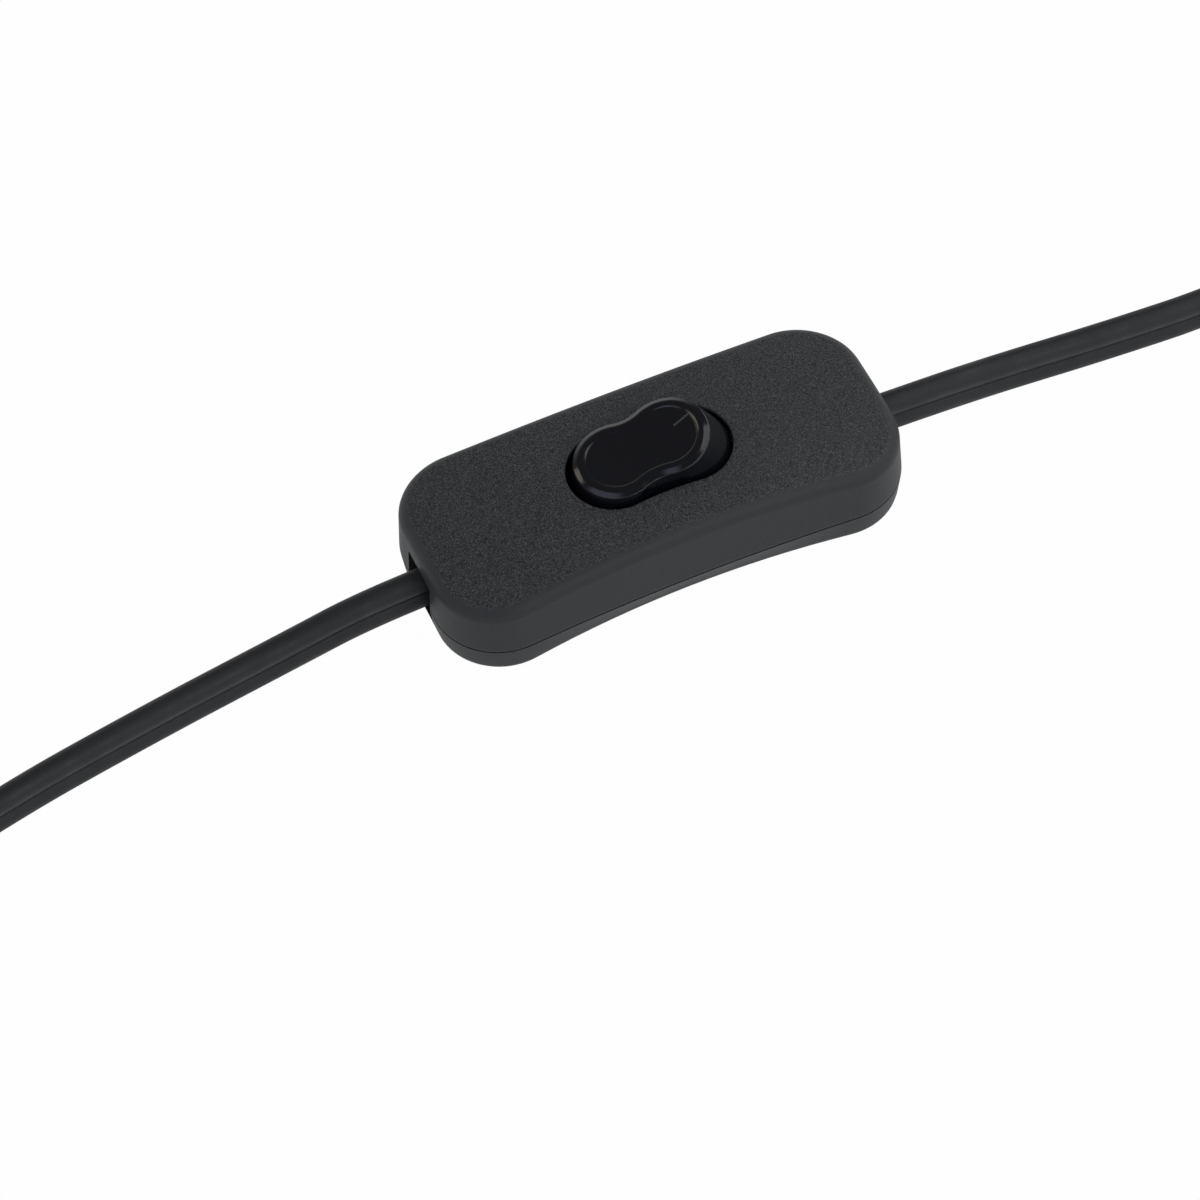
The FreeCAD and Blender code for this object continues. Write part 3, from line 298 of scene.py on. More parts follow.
def cover_grid(settings):
    """Rows from the seam up the wall, round the upper edge, over the crowned top to the opening, down its
    lip, back out under the roof and down the inside. The wall runs straight between the plans at the seam
    and at the top. The edge is an arc of its radius that starts upright on the wall and ends with the
    top's own slope. Each row on the top moves straight from the edge towards the opening at the same polar
    angle, and what is left of the edge's height fades with the 8th power."""
    house = np.array([settings.length / 2, settings.width / 2, settings.corner]) / MM
    height, rounding = settings.height / MM, settings.rounding / MM
    seam = settings.seam / MM + SEAM_GAP
    shares = cover_columns(house[1] - house[2])
    low, low_normal = waisted_box(house, 0.0, SEAM_WAIST, shares)
    high, high_normal = waisted_box(house, TOP_INSET, TOP_WAIST, shares)
    bottom = slot_edge(low, seam)

    def top(plan):
        """Height of the crowned top over a plan."""
        return crowned(settings, plan)

    def wall(z, inset=0.0):
        """The wall's plan at a height, moved in by an inset, and its outward normals."""
        share = ((z - seam) / (height + TRIM - seam))[:, None]
        normal = low_normal * (1 - share) + high_normal * share
        normal /= np.linalg.norm(normal, axis=1)[:, None]
        return low * (1 - share) + high * share - normal * inset, normal

    rows = [row(wall(bottom + lift, inset)[0], bottom + lift) for lift, inset in LOWER_EDGE]

    # Where the upper edge springs from the wall, worked out from the top's slope across it
    step = 0.1
    rim, normal = wall(np.full(len(low), height - 1.5 * rounding))
    slope = (top(rim - normal * rounding) - top(rim - normal * (rounding - step))) / step
    lean = np.arctan(slope)
    spring = top(rim - normal * (rounding * (1 - np.sin(lean)))[:, None]) - rounding * np.cos(lean)
    foot = bottom + LOWER_EDGE[-1][0]
    for share in np.linspace(0, 1, WALL_ROWS)[1:]:
        z = foot + (spring - foot) * share
        rows.append(row(wall(z)[0], z))
    rim, normal = wall(spring)
    for share in np.linspace(0, 1, EDGE_ROWS)[1:]:
        angle = share * (math.pi / 2 - lean)
        inner = rim - normal * (rounding * (1 - np.cos(angle)))[:, None]
        rows.append(row(inner, spring + rounding * np.sin(angle)))
    start, crest = rows[-1][:, :2], rows[-1][:, 2]
    angle = np.arctan2(start[:, 1], start[:, 0])
    hole, _ = peanut(*OPENING, *peanut_columns(400, 200))
    around = np.arctan2(hole[:, 1], hole[:, 0])
    order = np.argsort(around)

    def opening(grow):
        """The opening's outline at the cover's own polar angles, grown by a distance."""
        radius = np.hypot(*hole.T) + grow
        distance = np.interp(angle, around[order], radius[order], period=2 * math.pi)
        return np.stack([np.cos(angle), np.sin(angle)], -1) * distance[:, None]

    lip = opening(LIP_ROUND)
    for share in np.concatenate([[0.02, 0.05], np.linspace(0, 1, TOP_ROWS)[2:]]):
        inner = start * (1 - share) + lip * share
        rows.append(row(inner, top(inner) + (crest - top(start)) * (1 - share) ** 8))
    for turn in np.radians([22, 45, 67, 90]):
        inner = opening(LIP_ROUND * (1 - math.sin(turn)))
        rows.append(row(inner, top(inner) - LIP_ROUND * (1 - math.cos(turn))))
    wide = opening(LIP_STEP)
    rows.append(row(opening(0.0), height - LIP_DEPTH))
    rows.append(row(wide, height - LIP_DEPTH))
    rows.append(row(wide, top(wide) - ROOF))
    ceiling, _ = wall(spring - CEILING_SINK, WALL)
    for share in (0.5, 0.94):
        inner = wide * (1 - share) + ceiling * share
        rows.append(row(inner, top(inner) - ROOF))
    for share in (0.0, 0.5, 1.0):
        z = (top(ceiling) - ROOF - ROOF_CORNER) * (1 - share) + (bottom + INNER_BREAK) * share
        z = np.maximum(z, bottom + INNER_BREAK * (1 - share))
        rows.append(row(wall(z, WALL)[0], z))
    rows.append(row(wall(bottom, WALL + INNER_BREAK)[0], bottom))
    return np.array(rows)


def store_grain(piece, settings):
    """Writes how coarse the grain is at each vertex: 1 on the crowned top, falling evenly to 0 over the first
    GRAIN_EDGE millimetres that a vertex lies below that surface. The same share brings in the painted shade,
    highlights and glints of the top's colour."""
    mesh = piece.data
    places = np.zeros(len(mesh.vertices) * 3, np.float32)
    mesh.vertices.foreach_get("co", places)
    places = places.reshape(-1, 3) / MM
    drop = crowned(settings, places) - places[:, 2]
    grain = np.clip(1 - drop / GRAIN_EDGE, 0, 1).astype(np.float32)
    mesh.attributes.new("grain", "FLOAT", "POINT").data.foreach_set("value", grain)


# Rocker

# Heights over the rocker's axis: the skirt's lower edge, the top of the blank, the hollow's roof and the
# closed end of the plunger's bore
SKIRT_LOW, BLANK_TOP, HOLLOW_TOP, BORE_TOP = -1.5, 6.85, 4.15, 4.0
# Height of the axis in the housing, radius of the skirt's sweep about it, and radius of the face's dish
PIVOT, SWEEP, DISH = 10.3, 10.75, 61.0
# The heights between which the ends taper, and the rim's half length
TAPER, RIM_HALF = (1.6, 6.25), 8.6
# End radius and half waist of the plan, each with how much it draws in towards the top
END_ROUND, END_DRAW, WAIST, WAIST_DRAW = 5.55, 0.05, 5.3, 0.45
# Thickness of the shell, the broken lower and sharp edges, and where the rows up the skirt end below the rim
SHELL, SKIRT_BREAK, EDGE_BREAK, SKIRT_END = 1.25, 0.15, 0.015, 0.05
# Share of the plan at which the roof's flat middle ends, and for the middle lines onto which the roof and the
# face close the share of the plan's x and the reach
ROOF_SHARE, ROOF_LINE, FACE_LINE = 0.72, (0.55, 5.0), (0.62, 6.0)
# Change of the border's width from the middle to the right end, and how far its inner edge, the crease with
# the face, lies over the sharp edge
RIM_SPREAD, FACE_RISE = -0.08, 0.29
# Shares of the border's width with a row of points, close together at both edges
BORDER_SHARES = (0.02, 0.05, *np.linspace(0.08, 0.96, 18), 0.985, 1.015, 1.06)
SKIRT_ROWS, FACE_ROWS = 24, 12
# The ON mark's stroke on the face: its two ends, half its width, the ink's thickness and how far it is sunk
MARK_START, MARK_END, MARK_HALF = (4.75, 0.60), (7.07, 1.09), 0.13
INK, INK_SUNK = 0.02, 0.05


def rocker_plan(level, segment, share):
    """The rocker's plan at a height above its axis, column by column: the ends lie on the sweep about the
    axis, and from the first height of TAPER to the second they taper straight to the rim. The end radius
    and the waist draw in with the square of the height over the skirt."""
    rise = np.clip((level - SKIRT_LOW) / (BLANK_TOP - SKIRT_LOW), 0, 1) ** 2
    taper = np.clip((level - TAPER[0]) / (TAPER[1] - TAPER[0]), 0, 1)
    low = math.sqrt(SWEEP ** 2 - TAPER[0] ** 2)
    half = np.where(level > TAPER[0], low + (RIM_HALF - low) * taper, np.sqrt(SWEEP ** 2 - level ** 2))
    return peanut(half, END_ROUND - END_DRAW * rise, WAIST - WAIST_DRAW * rise, segment, share)


def dish(x):
    """How much higher the dished face is at x than in its middle: x*x / (2 * DISH)."""
    return x ** 2 / (2 * DISH)


def rim_height(share):
    """Height over the sharp edge against the share of the border's width: a straight bevel of the given
    slope, and from its end one parabola over the crest and down to the face's crease."""
    slope, end = 0.74, 0.30
    past = np.maximum(share - end, 0)
    return slope * share - (slope - FACE_RISE) * (past / (1 - end)) ** 2


def middle_line(plan, share, reach):
    """The line along X onto which a face closes: a share of the plan's own x, held within a reach."""
    return np.column_stack([np.clip(plan[:, 0] * share, -reach, reach), np.zeros(len(plan))])


def rocker_grid(settings):
    """Rows from the middle of the hollow's roof out and down inside the skirt, round its lower edge, up
    outside to the rim's sharp edge, over the raised border to the crease, and in over the dished face to
    its middle line. The sharp edge, the border and the face all rise with x as the dish does."""
    segment, share = peanut_columns()
    edge, rim = settings.edge / MM, settings.rim / MM

    def plan_at(level):
        """The plan and its outward normals, at one height or at one for each column."""
        return rocker_plan(np.broadcast_to(level, len(share)), segment, share)

    # The sharp edge lies where the dish meets the tapered ends, closely enough after two steps
    sharp = edge
    for _ in range(2):
        sharp = edge + dish(plan_at(sharp)[0][:, 0])
    hollow, outward = plan_at(HOLLOW_TOP)
    middle, flat = middle_line(hollow, *ROOF_LINE), hollow * ROOF_SHARE
    rows = [row(middle * part + flat * (1 - part), HOLLOW_TOP) for part in (1.0, 0.5, 0.0)]
    rows.append(row(hollow - outward * SHELL, HOLLOW_TOP))
    skirt, outward = plan_at(SKIRT_LOW)
    for lift, inset in ((0.0, SHELL), (0.0, SKIRT_BREAK), (SKIRT_BREAK, 0.0)):
        rows.append(row(skirt - outward * inset, SKIRT_LOW + lift))
    for part in np.linspace(0, 1, SKIRT_ROWS)[1:]:
        z = (SKIRT_LOW + SKIRT_BREAK) * (1 - part) + (sharp - SKIRT_END) * part
        rows.append(row(plan_at(z)[0], z))
    outer, outward = plan_at(sharp)
    rows.append(row(outer - outward * EDGE_BREAK, sharp - EDGE_BREAK))
    width = (rim + RIM_SPREAD * outer[:, 0] / outer[:, 0].max())[:, None]
    for part in BORDER_SHARES:
        plan = outer - outward * width * part
        rows.append(row(plan, edge + dish(plan[:, 0]) + rim_height(part)))
    border, middle = plan, middle_line(plan, *FACE_LINE)
    for part in np.linspace(0, 1, FACE_ROWS)[1:]:
        plan = border * (1 - part) + middle * part
        rows.append(row(plan, edge + dish(plan[:, 0]) + FACE_RISE))
    return np.array(rows)


def mark_grid(settings, count=16):
    """A thin bar printed on the face: rows round its cross-section, columns along it. The first and last
    columns have no width and no lift, which closes the ends."""
    start, end = np.array(MARK_START), np.array(MARK_END)
    along = (end - start) / np.linalg.norm(end - start)
    across = np.array([-along[1], along[0]])
    shares = np.concatenate([[0], np.linspace(0, 1, count), [1]])
    half = np.full(len(shares), MARK_HALF)
    half[[0, -1]] = 0.0
    line = start + (end - start) * shares[:, None]
    rows = []
    for side, lift in ((-1, 0.0), (-1, INK), (1, INK), (1, 0.0), (1, -INK_SUNK), (-1, -INK_SUNK)):
        plan = line + across * (half * side)[:, None]
        rows.append(row(plan, settings.edge / MM + FACE_RISE + dish(plan[:, 0]) + lift * (half > 0)))
    return np.array(rows)


def seated(points, tilt):
    """Carries points from the rocker's own frame to its rest pose: a turn by -tilt about Y, then a lift."""
    c, s = math.cos(tilt), math.sin(tilt)
    x, y, z = np.moveaxis(points, -1, 0)
    return np.stack([x * c - z * s, y, x * s + z * c + PIVOT], -1)


# Cords

# Even step between the points along a cord
CORD_STEP = 0.6
# Depth, width and reach of the tear line between the two cores
TEAR_DEPTH, TEAR_WIDTH, TEAR_REACH = 0.26, 0.13, 0.32
# Stripped ends: length of bare wire, how far it starts inside the skin, radius of a wire, radius of the ring
# of six round the middle one, and pitch of their twist
STRIPPED, SUNK, WIRE, WIRE_RING, PITCH = 5.95, 0.3, 0.185, 0.365, 9.0
# Routes of the two leads in metres: inside the housing, out on edge, down to the ground
ROUTES = {
    "left": [(-0.0246, 0.0, 0.0052), (-0.0365, 0.0, 0.0052), (-0.0490, -0.0004, 0.0031),
             (-0.0665, -0.0028, 0.0031), (-0.0880, -0.0064, 0.0031), (-0.1150, -0.0138, 0.0031),
             (-0.1410, -0.0242, 0.0031)],
    "right": [(0.0246, -0.0002, 0.0052), (0.0365, -0.0005, 0.0051), (0.0480, 0.0003, 0.0031),
              (0.0625, -0.00095, 0.0031), (0.0800, -0.0019, 0.0031), (0.1030, 0.0009, 0.0031),
              (0.1280, 0.0082, 0.0031), (0.1440, 0.0162, 0.0031)],
}


def spline_points(points):
    """Points along a third-order NURBS curve with the given control points, in metres."""
    curve = bpy.data.curves.new("route", "CURVE")
    curve.dimensions = "3D"
    spline = curve.splines.new("NURBS")
    spline.points.add(len(points) - 1)
    spline.points.foreach_set("co", [v for p in points for v in (*p, 1.0)])
    spline.order_u = 3
    spline.use_endpoint_u = True
    spline.resolution_u = 20
    holder = bpy.data.objects.new("route", curve)
    bpy.context.scene.collection.objects.link(holder)
    bpy.context.view_layer.update()
    mesh = bpy.data.meshes.new_from_object(holder)
    line = np.zeros(len(mesh.vertices) * 3)
    mesh.vertices.foreach_get("co", line)
    bpy.data.objects.remove(holder)
    bpy.data.curves.remove(curve)
    bpy.data.meshes.remove(mesh)
    return line.reshape(-1, 3)


def evenly(line, step):
    """The same line with points an even step apart, by straight interpolation over its length."""
    run = np.concatenate([[0], np.cumsum(np.linalg.norm(np.diff(line, axis=0), axis=1))])
    places = np.linspace(0, run[-1], max(2, int(round(run[-1] / step)) + 1))
    return np.stack([np.interp(places, run, line[:, k]) for k in range(3)], -1), places


def twin_section(thickness, web, count=60):
    """Half widths of the flat cord against height: two circles of radius r joined by a web.

    The width is a smooth maximum of the circle sqrt(r*r - (|h| - r)**2) and the web's half thickness, and
    from 0.62 r up it turns into the circle alone. The tear line between the cores then takes off
    TEAR_DEPTH * exp(-(h / TEAR_WIDTH)**2). Returned as (side, up) pairs round the section."""
    r = thickness / 2
    flat, soft, bare, turn = web * r, 0.04 * r, 0.62 * r, 0.3 * r
    lobe = r - r * np.cos(np.linspace(0, math.pi, count // 2))
    h = np.concatenate([lobe, np.linspace(0, bare, 12), np.linspace(0, TEAR_REACH, 11)])
    h = np.unique(np.round(h, 6))
    circle = np.sqrt(np.clip(r * r - (h - r) ** 2, 0, None))
    width = 0.5 * (circle + flat + np.sqrt((circle - flat) ** 2 + soft ** 2))
    blend = np.clip((h - bare) / turn, 0, 1)
    width = width * (1 - blend) + circle * blend - TEAR_DEPTH * np.exp(-(h / TEAR_WIDTH) ** 2)
    up = np.concatenate([-h[::-1], h[1:]])
    side = np.concatenate([width[::-1], width[1:]])
    return np.concatenate([np.stack([side, up], -1), np.stack([-side, up], -1)[::-1][1:-1]])


def swept(line, ring):
    """Carries a section (side, up) along a line, its up axis kept as near to Z as the line allows. Also
    gives the line's tangents and the two axes across it."""
    tangent = np.gradient(line, axis=0)
    tangent /= np.linalg.norm(tangent, axis=1)[:, None]
    side = np.cross([0.0, 0.0, 1.0], tangent)
    side /= np.linalg.norm(side, axis=1)[:, None]
    up = np.cross(tangent, side)
    grid = line[:, None] + side[:, None] * ring[None, :, :1] + up[:, None] * ring[None, :, 1:]
    return grid, (tangent, side, up)


def capped(grid, shares=(0.96, 0.7, 0.0)):
    """Adds rings at each end that shrink to its middle by the given shares, so that the tube is closed."""
    def shrunk(ring):
        """The rings that close one end, the widest first."""
        middle = ring.mean(0)
        return [middle + (ring - middle) * share for share in shares]
    return np.concatenate([shrunk(grid[0])[::-1], grid, shrunk(grid[-1])])


def strand_bundles(end, axes, radius, wires=7, steps=40, facets=10):
    """Two twisted bundles, one in each core: a middle wire, and helices round it whose angle grows evenly
    along the cord. Each wire is a closed tube."""
    tangent, side, up = axes
    run = np.linspace(-SUNK, STRIPPED, steps)
    turn = np.linspace(0, 2 * math.pi, facets, endpoint=False)
    ring = WIRE * np.stack([np.cos(turn), np.sin(turn)], -1)
    points, faces, first = [], [], 0
    for core in (1, -1):
        for wire in range(wires):
            reach = 0.0 if wire == 0 else WIRE_RING
            angle = wire * 2 * math.pi / (wires - 1) + run * 2 * math.pi / PITCH
            centre = (end + up * core * radius + tangent * run[:, None]
                      + reach * (np.cos(angle)[:, None] * side + np.sin(angle)[:, None] * up))
            grid = capped(centre[:, None] + side * ring[None, :, :1] + up * ring[None, :, 1:])
            faces.append(quads(*grid.shape[:2]) + first)
            points.append(grid.reshape(-1, 3))
            first += len(points[-1])
    return np.concatenate(points), np.concatenate(faces)


# Materials

# Grain of the housing in pits to the millimetre, then the painted glints, spots of painted highlight in the
# colour, to the millimetre. Real pits are about 0.15 mm wide; the coarse ones are drawn near 0.18 mm so that
# they still show in the render
COARSE_GRAIN, FINE_GRAIN, PAINTED_GLINTS = 5.6, 9.0, 6.4
GRAIN_DEPTH = 0.06 * MM

# Colour, roughness and cells of uneven gloss to the millimetre
METALS = {
    # Stamped sheet: warm yellow, with a soft sheen
    "brass_stamped": ("#C9A45A", 0.32, 2.5),
    # Headed rivets: pale, and brighter than what carries them
    "silver_alloy_rivet": ("#D8D8D4", 0.28, 4.0),
    # Plated screws and spring: a cool grey that blurs what it mirrors
    "steel_zinc_plated": ("#B9BCC0", 0.34, 3.0),
    # Bare wires in the blocks: a warm light grey
    "copper_tinned": ("#C4C2BC", 0.30, 6.0),
    # Twisted and dipped ends: a little brighter, with fine ripples
    "copper_tinned_twisted": ("#C9C8C4", 0.28, 6.0),
}


def node(tree, kind, inputs=None, into=None, stops=(), **settings):
    """Adds a node, sets its properties, gives a colour ramp its stops of (position, grey), fills or links
    its inputs, and links its first output into a socket where one is given."""
    made = tree.nodes.new(kind)
    for key, value in settings.items():
        setattr(made, key, value)
    if stops:
        elements = made.color_ramp.elements
        while len(elements) < len(stops):
            elements.new(0.5)
        for element, (position, grey) in zip(elements, stops):
            element.position = position
            element.color = (grey, grey, grey, 1.0)
    for key, value in (inputs or {}).items():
        if isinstance(value, bpy.types.NodeSocket):
            tree.links.new(value, made.inputs[key])
        else:
            made.inputs[key].default_value = value
    if into is not None:
        tree.links.new(made.outputs[0], into)
    return made


def new_material(name, base, roughness, metallic=0.0, ior=1.5, specular=0.5):
    """A material with one Principled shader, and Object coordinates in millimetres, so that the Scale of a
    pattern counts its cells to the millimetre."""
    material = bpy.data.materials.new(name)
    material.use_nodes = True
    tree = material.node_tree
    shader = tree.nodes["Principled BSDF"]
    for socket, value in (("Base Color", base), ("Roughness", roughness), ("Metallic", metallic),
                          ("IOR", ior), ("Specular IOR Level", specular)):
        shader.inputs[socket].default_value = value
    places = node(tree, "ShaderNodeTexCoord").outputs["Object"]
    scaled = node(tree, "ShaderNodeMapping", {"Vector": places, "Scale": (1 / MM, 1 / MM, 1 / MM)})
    return material, tree, shader, scaled.outputs["Vector"]


def moulded_abs(name, plastic):
    """Black ABS as it leaves a spark-eroded tool: dull, so that it shows lamps as broad grey sheens. Also
    gives the fine grain of its walls."""
    material, tree, shader, place = new_material(name, plastic, 0.52, specular=0.34)
    fine = node(tree, "ShaderNodeTexNoise",
                {"Vector": place, "Scale": FINE_GRAIN, "Detail": 2.0, "Roughness": 0.5})
    return material, tree, shader, place, fine.outputs["Fac"]


def grained_abs(plastic, depth):
    """Black ABS with a coarse grain on top and the fine one on its walls. On top the colour carries painted
    shade in the grain's pits, painted highlights on its crests and painted glints. The piece's grain
    attribute leads from one to the other."""
    material, tree, shader, place, fine = moulded_abs("ABS_spark_eroded_painted_light", plastic)
    grained = node(tree, "ShaderNodeAttribute", attribute_name="grain").outputs["Fac"]
    coarse = node(tree, "ShaderNodeTexNoise",
                  {"Vector": place, "Scale": COARSE_GRAIN, "Detail": 3.0, "Roughness": 0.62}).outputs["Fac"]
    glint = node(tree, "ShaderNodeTexVoronoi", {"Vector": place, "Scale": PAINTED_GLINTS}, feature="F1")
    # Painted shade darkens the pits below the plastic's colour, painted highlight brightens the crests
    # between them, and small spots carry painted glints
    spark = node(tree, "ShaderNodeValToRGB", {"Fac": glint.outputs["Distance"]},
                 stops=[(0.10, 1.0), (0.32, 0.0)])
    painted_pit_shade_crest_light = node(tree, "ShaderNodeValToRGB", {"Fac": coarse},
                 stops=[(0.36, 0.25), (0.50, 0.95), (0.64, 2.6)])
    spark = node(tree, "ShaderNodeMath", {0: spark.outputs["Color"], 1: 1.6}, operation="MULTIPLY")
    shade = node(tree, "ShaderNodeMath", {0: painted_pit_shade_crest_light.outputs["Color"], 1: spark.outputs[0]}, operation="ADD")
    # On top the painted shade, highlights and glints scale the plastic's colour; the walls keep it plain
    level = node(tree, "ShaderNodeMix", {"Factor": grained, "A": 1.0, "B": shade.outputs[0]},
                 data_type="FLOAT")
    node(tree, "ShaderNodeVectorMath", {0: plastic[:3], "Scale": level.outputs[0]},
         into=shader.inputs["Base Color"], operation="SCALE")
    height = node(tree, "ShaderNodeMix", {"Factor": grained, "A": fine, "B": coarse}, data_type="FLOAT")
    strength = node(tree, "ShaderNodeMapRange",
                    {"Value": grained, "To Min": 0.12 * depth, "To Max": 0.45 * depth})
    node(tree, "ShaderNodeBump",
         {"Strength": strength.outputs[0], "Distance": GRAIN_DEPTH, "Height": height.outputs[0]},
         into=shader.inputs["Normal"])
    node(tree, "ShaderNodeMapRange",
         {"Value": coarse, "From Min": 0.3, "From Max": 0.7, "To Min": 0.44, "To Max": 0.60},
         into=shader.inputs["Roughness"])
    return material


def fine_abs(plastic):
    """Black ABS from the same tool, with only the fine grain of its walls: an even, satin black."""
    material, tree, shader, _, fine = moulded_abs("ABS_fine_grain", plastic)
    node(tree, "ShaderNodeBump", {"Strength": 0.12, "Distance": GRAIN_DEPTH, "Height": fine},
         into=shader.inputs["Normal"])
    return material


def polished_abs(plastic):
    """Black ABS from a polished tool: a mirror-like skin, with a faint ripple about 1.4 mm long and wear
    about 0.2 mm across that breaks up its gloss."""
    material, tree, shader, place = new_material("ABS_polished", plastic, 0.13, ior=1.53)
    ripple = node(tree, "ShaderNodeTexNoise", {"Vector": place, "Scale": 0.7, "Detail": 1.0})
    wear = node(tree, "ShaderNodeTexNoise", {"Vector": place, "Scale": 5.0, "Detail": 4.0, "Distortion": 1.5})
    node(tree, "ShaderNodeBump", {"Strength": 0.10, "Distance": 0.04 * MM, "Height": ripple.outputs["Fac"]},
         into=shader.inputs["Normal"])
    node(tree, "ShaderNodeMapRange",
         {"Value": wear.outputs["Fac"], "From Min": 0.35, "From Max": 0.75, "To Min": 0.10, "To Max": 0.20},
         into=shader.inputs["Roughness"])
    return material


def flexible_pvc(skin):
    """Extruded soft PVC: satin, with faint draw lines along the cord about 0.2 mm apart, and a gloss that
    changes over about 3 mm."""
    material, tree, shader, place = new_material("PVC_extruded", skin, 0.55, ior=1.53, specular=0.40)
    drawn = node(tree, "ShaderNodeMapping", {"Vector": place, "Scale": (0.06, 5.0, 5.0)})
    lines = node(tree, "ShaderNodeTexNoise", {"Vector": drawn.outputs[0], "Scale": 1.0, "Detail": 2.0})
    patch = node(tree, "ShaderNodeTexNoise", {"Vector": place, "Scale": 0.35, "Detail": 2.0})
    node(tree, "ShaderNodeBump", {"Strength": 0.10, "Distance": 0.05 * MM, "Height": lines.outputs["Fac"]},
         into=shader.inputs["Normal"])
    node(tree, "ShaderNodeMapRange",
         {"Value": patch.outputs["Fac"], "From Min": 0.3, "From Max": 0.7, "To Min": 0.48, "To Max": 0.60},
         into=shader.inputs["Roughness"])
    return material


def worked_metal(name):
    """One of METALS, with the fine uneven gloss that pressing, drawing or plating leaves."""
    code, roughness, cells = METALS[name]
    material, tree, shader, place = new_material(name, linear(code), roughness, metallic=1.0)
    tool = node(tree, "ShaderNodeTexNoise", {"Vector": place, "Scale": cells, "Detail": 3.0}).outputs["Fac"]
    node(tree, "ShaderNodeBump", {"Strength": 0.25, "Distance": 0.02 * MM, "Height": tool},
         into=shader.inputs["Normal"])
    node(tree, "ShaderNodeMapRange", {"Value": tool, "To Min": roughness * 0.7, "To Max": roughness * 1.4},
         into=shader.inputs["Roughness"])
    return material


def moulded_nylon(name, code):
    """Glass-filled nylon or acetal straight from the tool: dull, with a skin faintly mottled in cells of
    about 0.3 mm."""
    material, tree, shader, place = new_material(name, linear(code), 0.45)
    mottle = node(tree, "ShaderNodeTexNoise", {"Vector": place, "Scale": 3.0, "Detail": 3.0})
    node(tree, "ShaderNodeBump", {"Strength": 0.15, "Distance": 0.04 * MM, "Height": mottle.outputs["Fac"]},
         into=shader.inputs["Normal"])
    return material


def printed_mark(base, thinnest=0.55):
    """Pad-printed ink: thin and dull, and a little uneven in cover from one 0.17 mm patch to the next."""
    material, tree, shader, place = new_material("ink_pad_printed", base, 0.5)
    cover = node(tree, "ShaderNodeTexNoise", {"Vector": place, "Scale": 6.0, "Detail": 2.0})
    dark = (*[thinnest * value for value in base[:3]], 1.0)
    ink = node(tree, "ShaderNodeMix", {"Factor": cover.outputs["Fac"], "A": dark, "B": base},
               data_type="RGBA")
    tree.links.new(ink.outputs["Result"], shader.inputs["Base Color"])
    return material


def dress(piece, material, body):
    """Gives a finished piece its material and its body."""
    piece.data.materials.append(material)
    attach(piece, body)


def dress_node(name, material, weld_distance=1e-6, crease_angle=28.0):
    """Gives a CAD node its material and a smooth look between its flat triangles. Edges that bend by more
    than crease_angle degrees stay sharp."""
    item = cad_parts[name]
    item.data.materials.clear()
    item.data.materials.append(material)
    item.data.polygons.foreach_set("use_smooth", np.ones(len(item.data.polygons), bool))
    weld = item.modifiers.new("weld", "WELD")
    weld.merge_threshold = weld_distance
    split = item.modifiers.new("crease", "EDGE_SPLIT")
    split.split_angle = math.radians(crease_angle)


# Stage

# Places in metres, widths and depths, shares of the key light's power, and tints of the lamps
LAMPS = {
    "key_softbox": ((0.36, -0.05, 0.42), (0.50, 0.50), 1.15, "#FFFFFF"),
    "near_fill": ((0.12, -0.40, 0.32), (0.30, 0.12), 0.56, "#F4F7FF"),
    "left_window": ((-0.34, 0.34, 0.38), (0.20, 0.14), 0.18, "#FFF3DF"),
}
LAMP_AIM = (0, 0, 0.01)
# Share of the paper that reflections show as plain and pale, and how much the plain paper covers the shaded
PAPER_MIRRORED, PAPER_COVER = 0.68, 0.985
# The room's light on the object and its dark ceiling, the heights of a ray between which the paper fades, the
# diffuser's direction, and how close to it a ray is at its edge and inside it, as cosines
ROOM_LIGHT, CEILING, PAPER_FADE = 0.54, 0.12, (0.10, 0.52)
DIFFUSER_SIDE, DIFFUSER_EDGE = (-0.60, -0.16, 0.785), (0.88, 0.96)
# Half side of the floor, and the hair by which it lies under the part
FLOOR_HALF, FLOOR_DROP = 2000.0, 0.02
# The camera's place in metres and its own axes, as fitted to the photograph
CAMERA_PLACE = (-0.118978, -0.286259, 0.422017)
CAMERA_RIGHT = (0.91135, -0.41002, -0.03653)
CAMERA_UP = (0.35429, 0.7361, 0.57674)
CAMERA_BACK = (-0.20959, -0.53855, 0.81611)


def flat_plane(name, half):
    """A square of the given half side on the ground."""
    corners = np.array([[-half, -half, 0], [half, -half, 0], [half, half, 0], [-half, half, 0]], float)
    return new_piece(name, corners, np.array([[0, 1, 2, 3]]), close=False)


def seen_light(tree, mirrored=1.0):
    """1 for camera and transmission rays, which should meet the plain pale background, and the given share
    for glossy rays."""
    path = node(tree, "ShaderNodeLightPath").outputs
    glossy = node(tree, "ShaderNodeMath", {0: path["Is Glossy Ray"], 1: mirrored}, operation="MULTIPLY")
    both = node(tree, "ShaderNodeMath", {0: path["Is Camera Ray"], 1: glossy.outputs[0]}, operation="MAXIMUM")
    seen = node(tree, "ShaderNodeMath", {0: both.outputs[0], 1: path["Is Transmission Ray"]},
                operation="MAXIMUM")
    return seen.outputs[0]


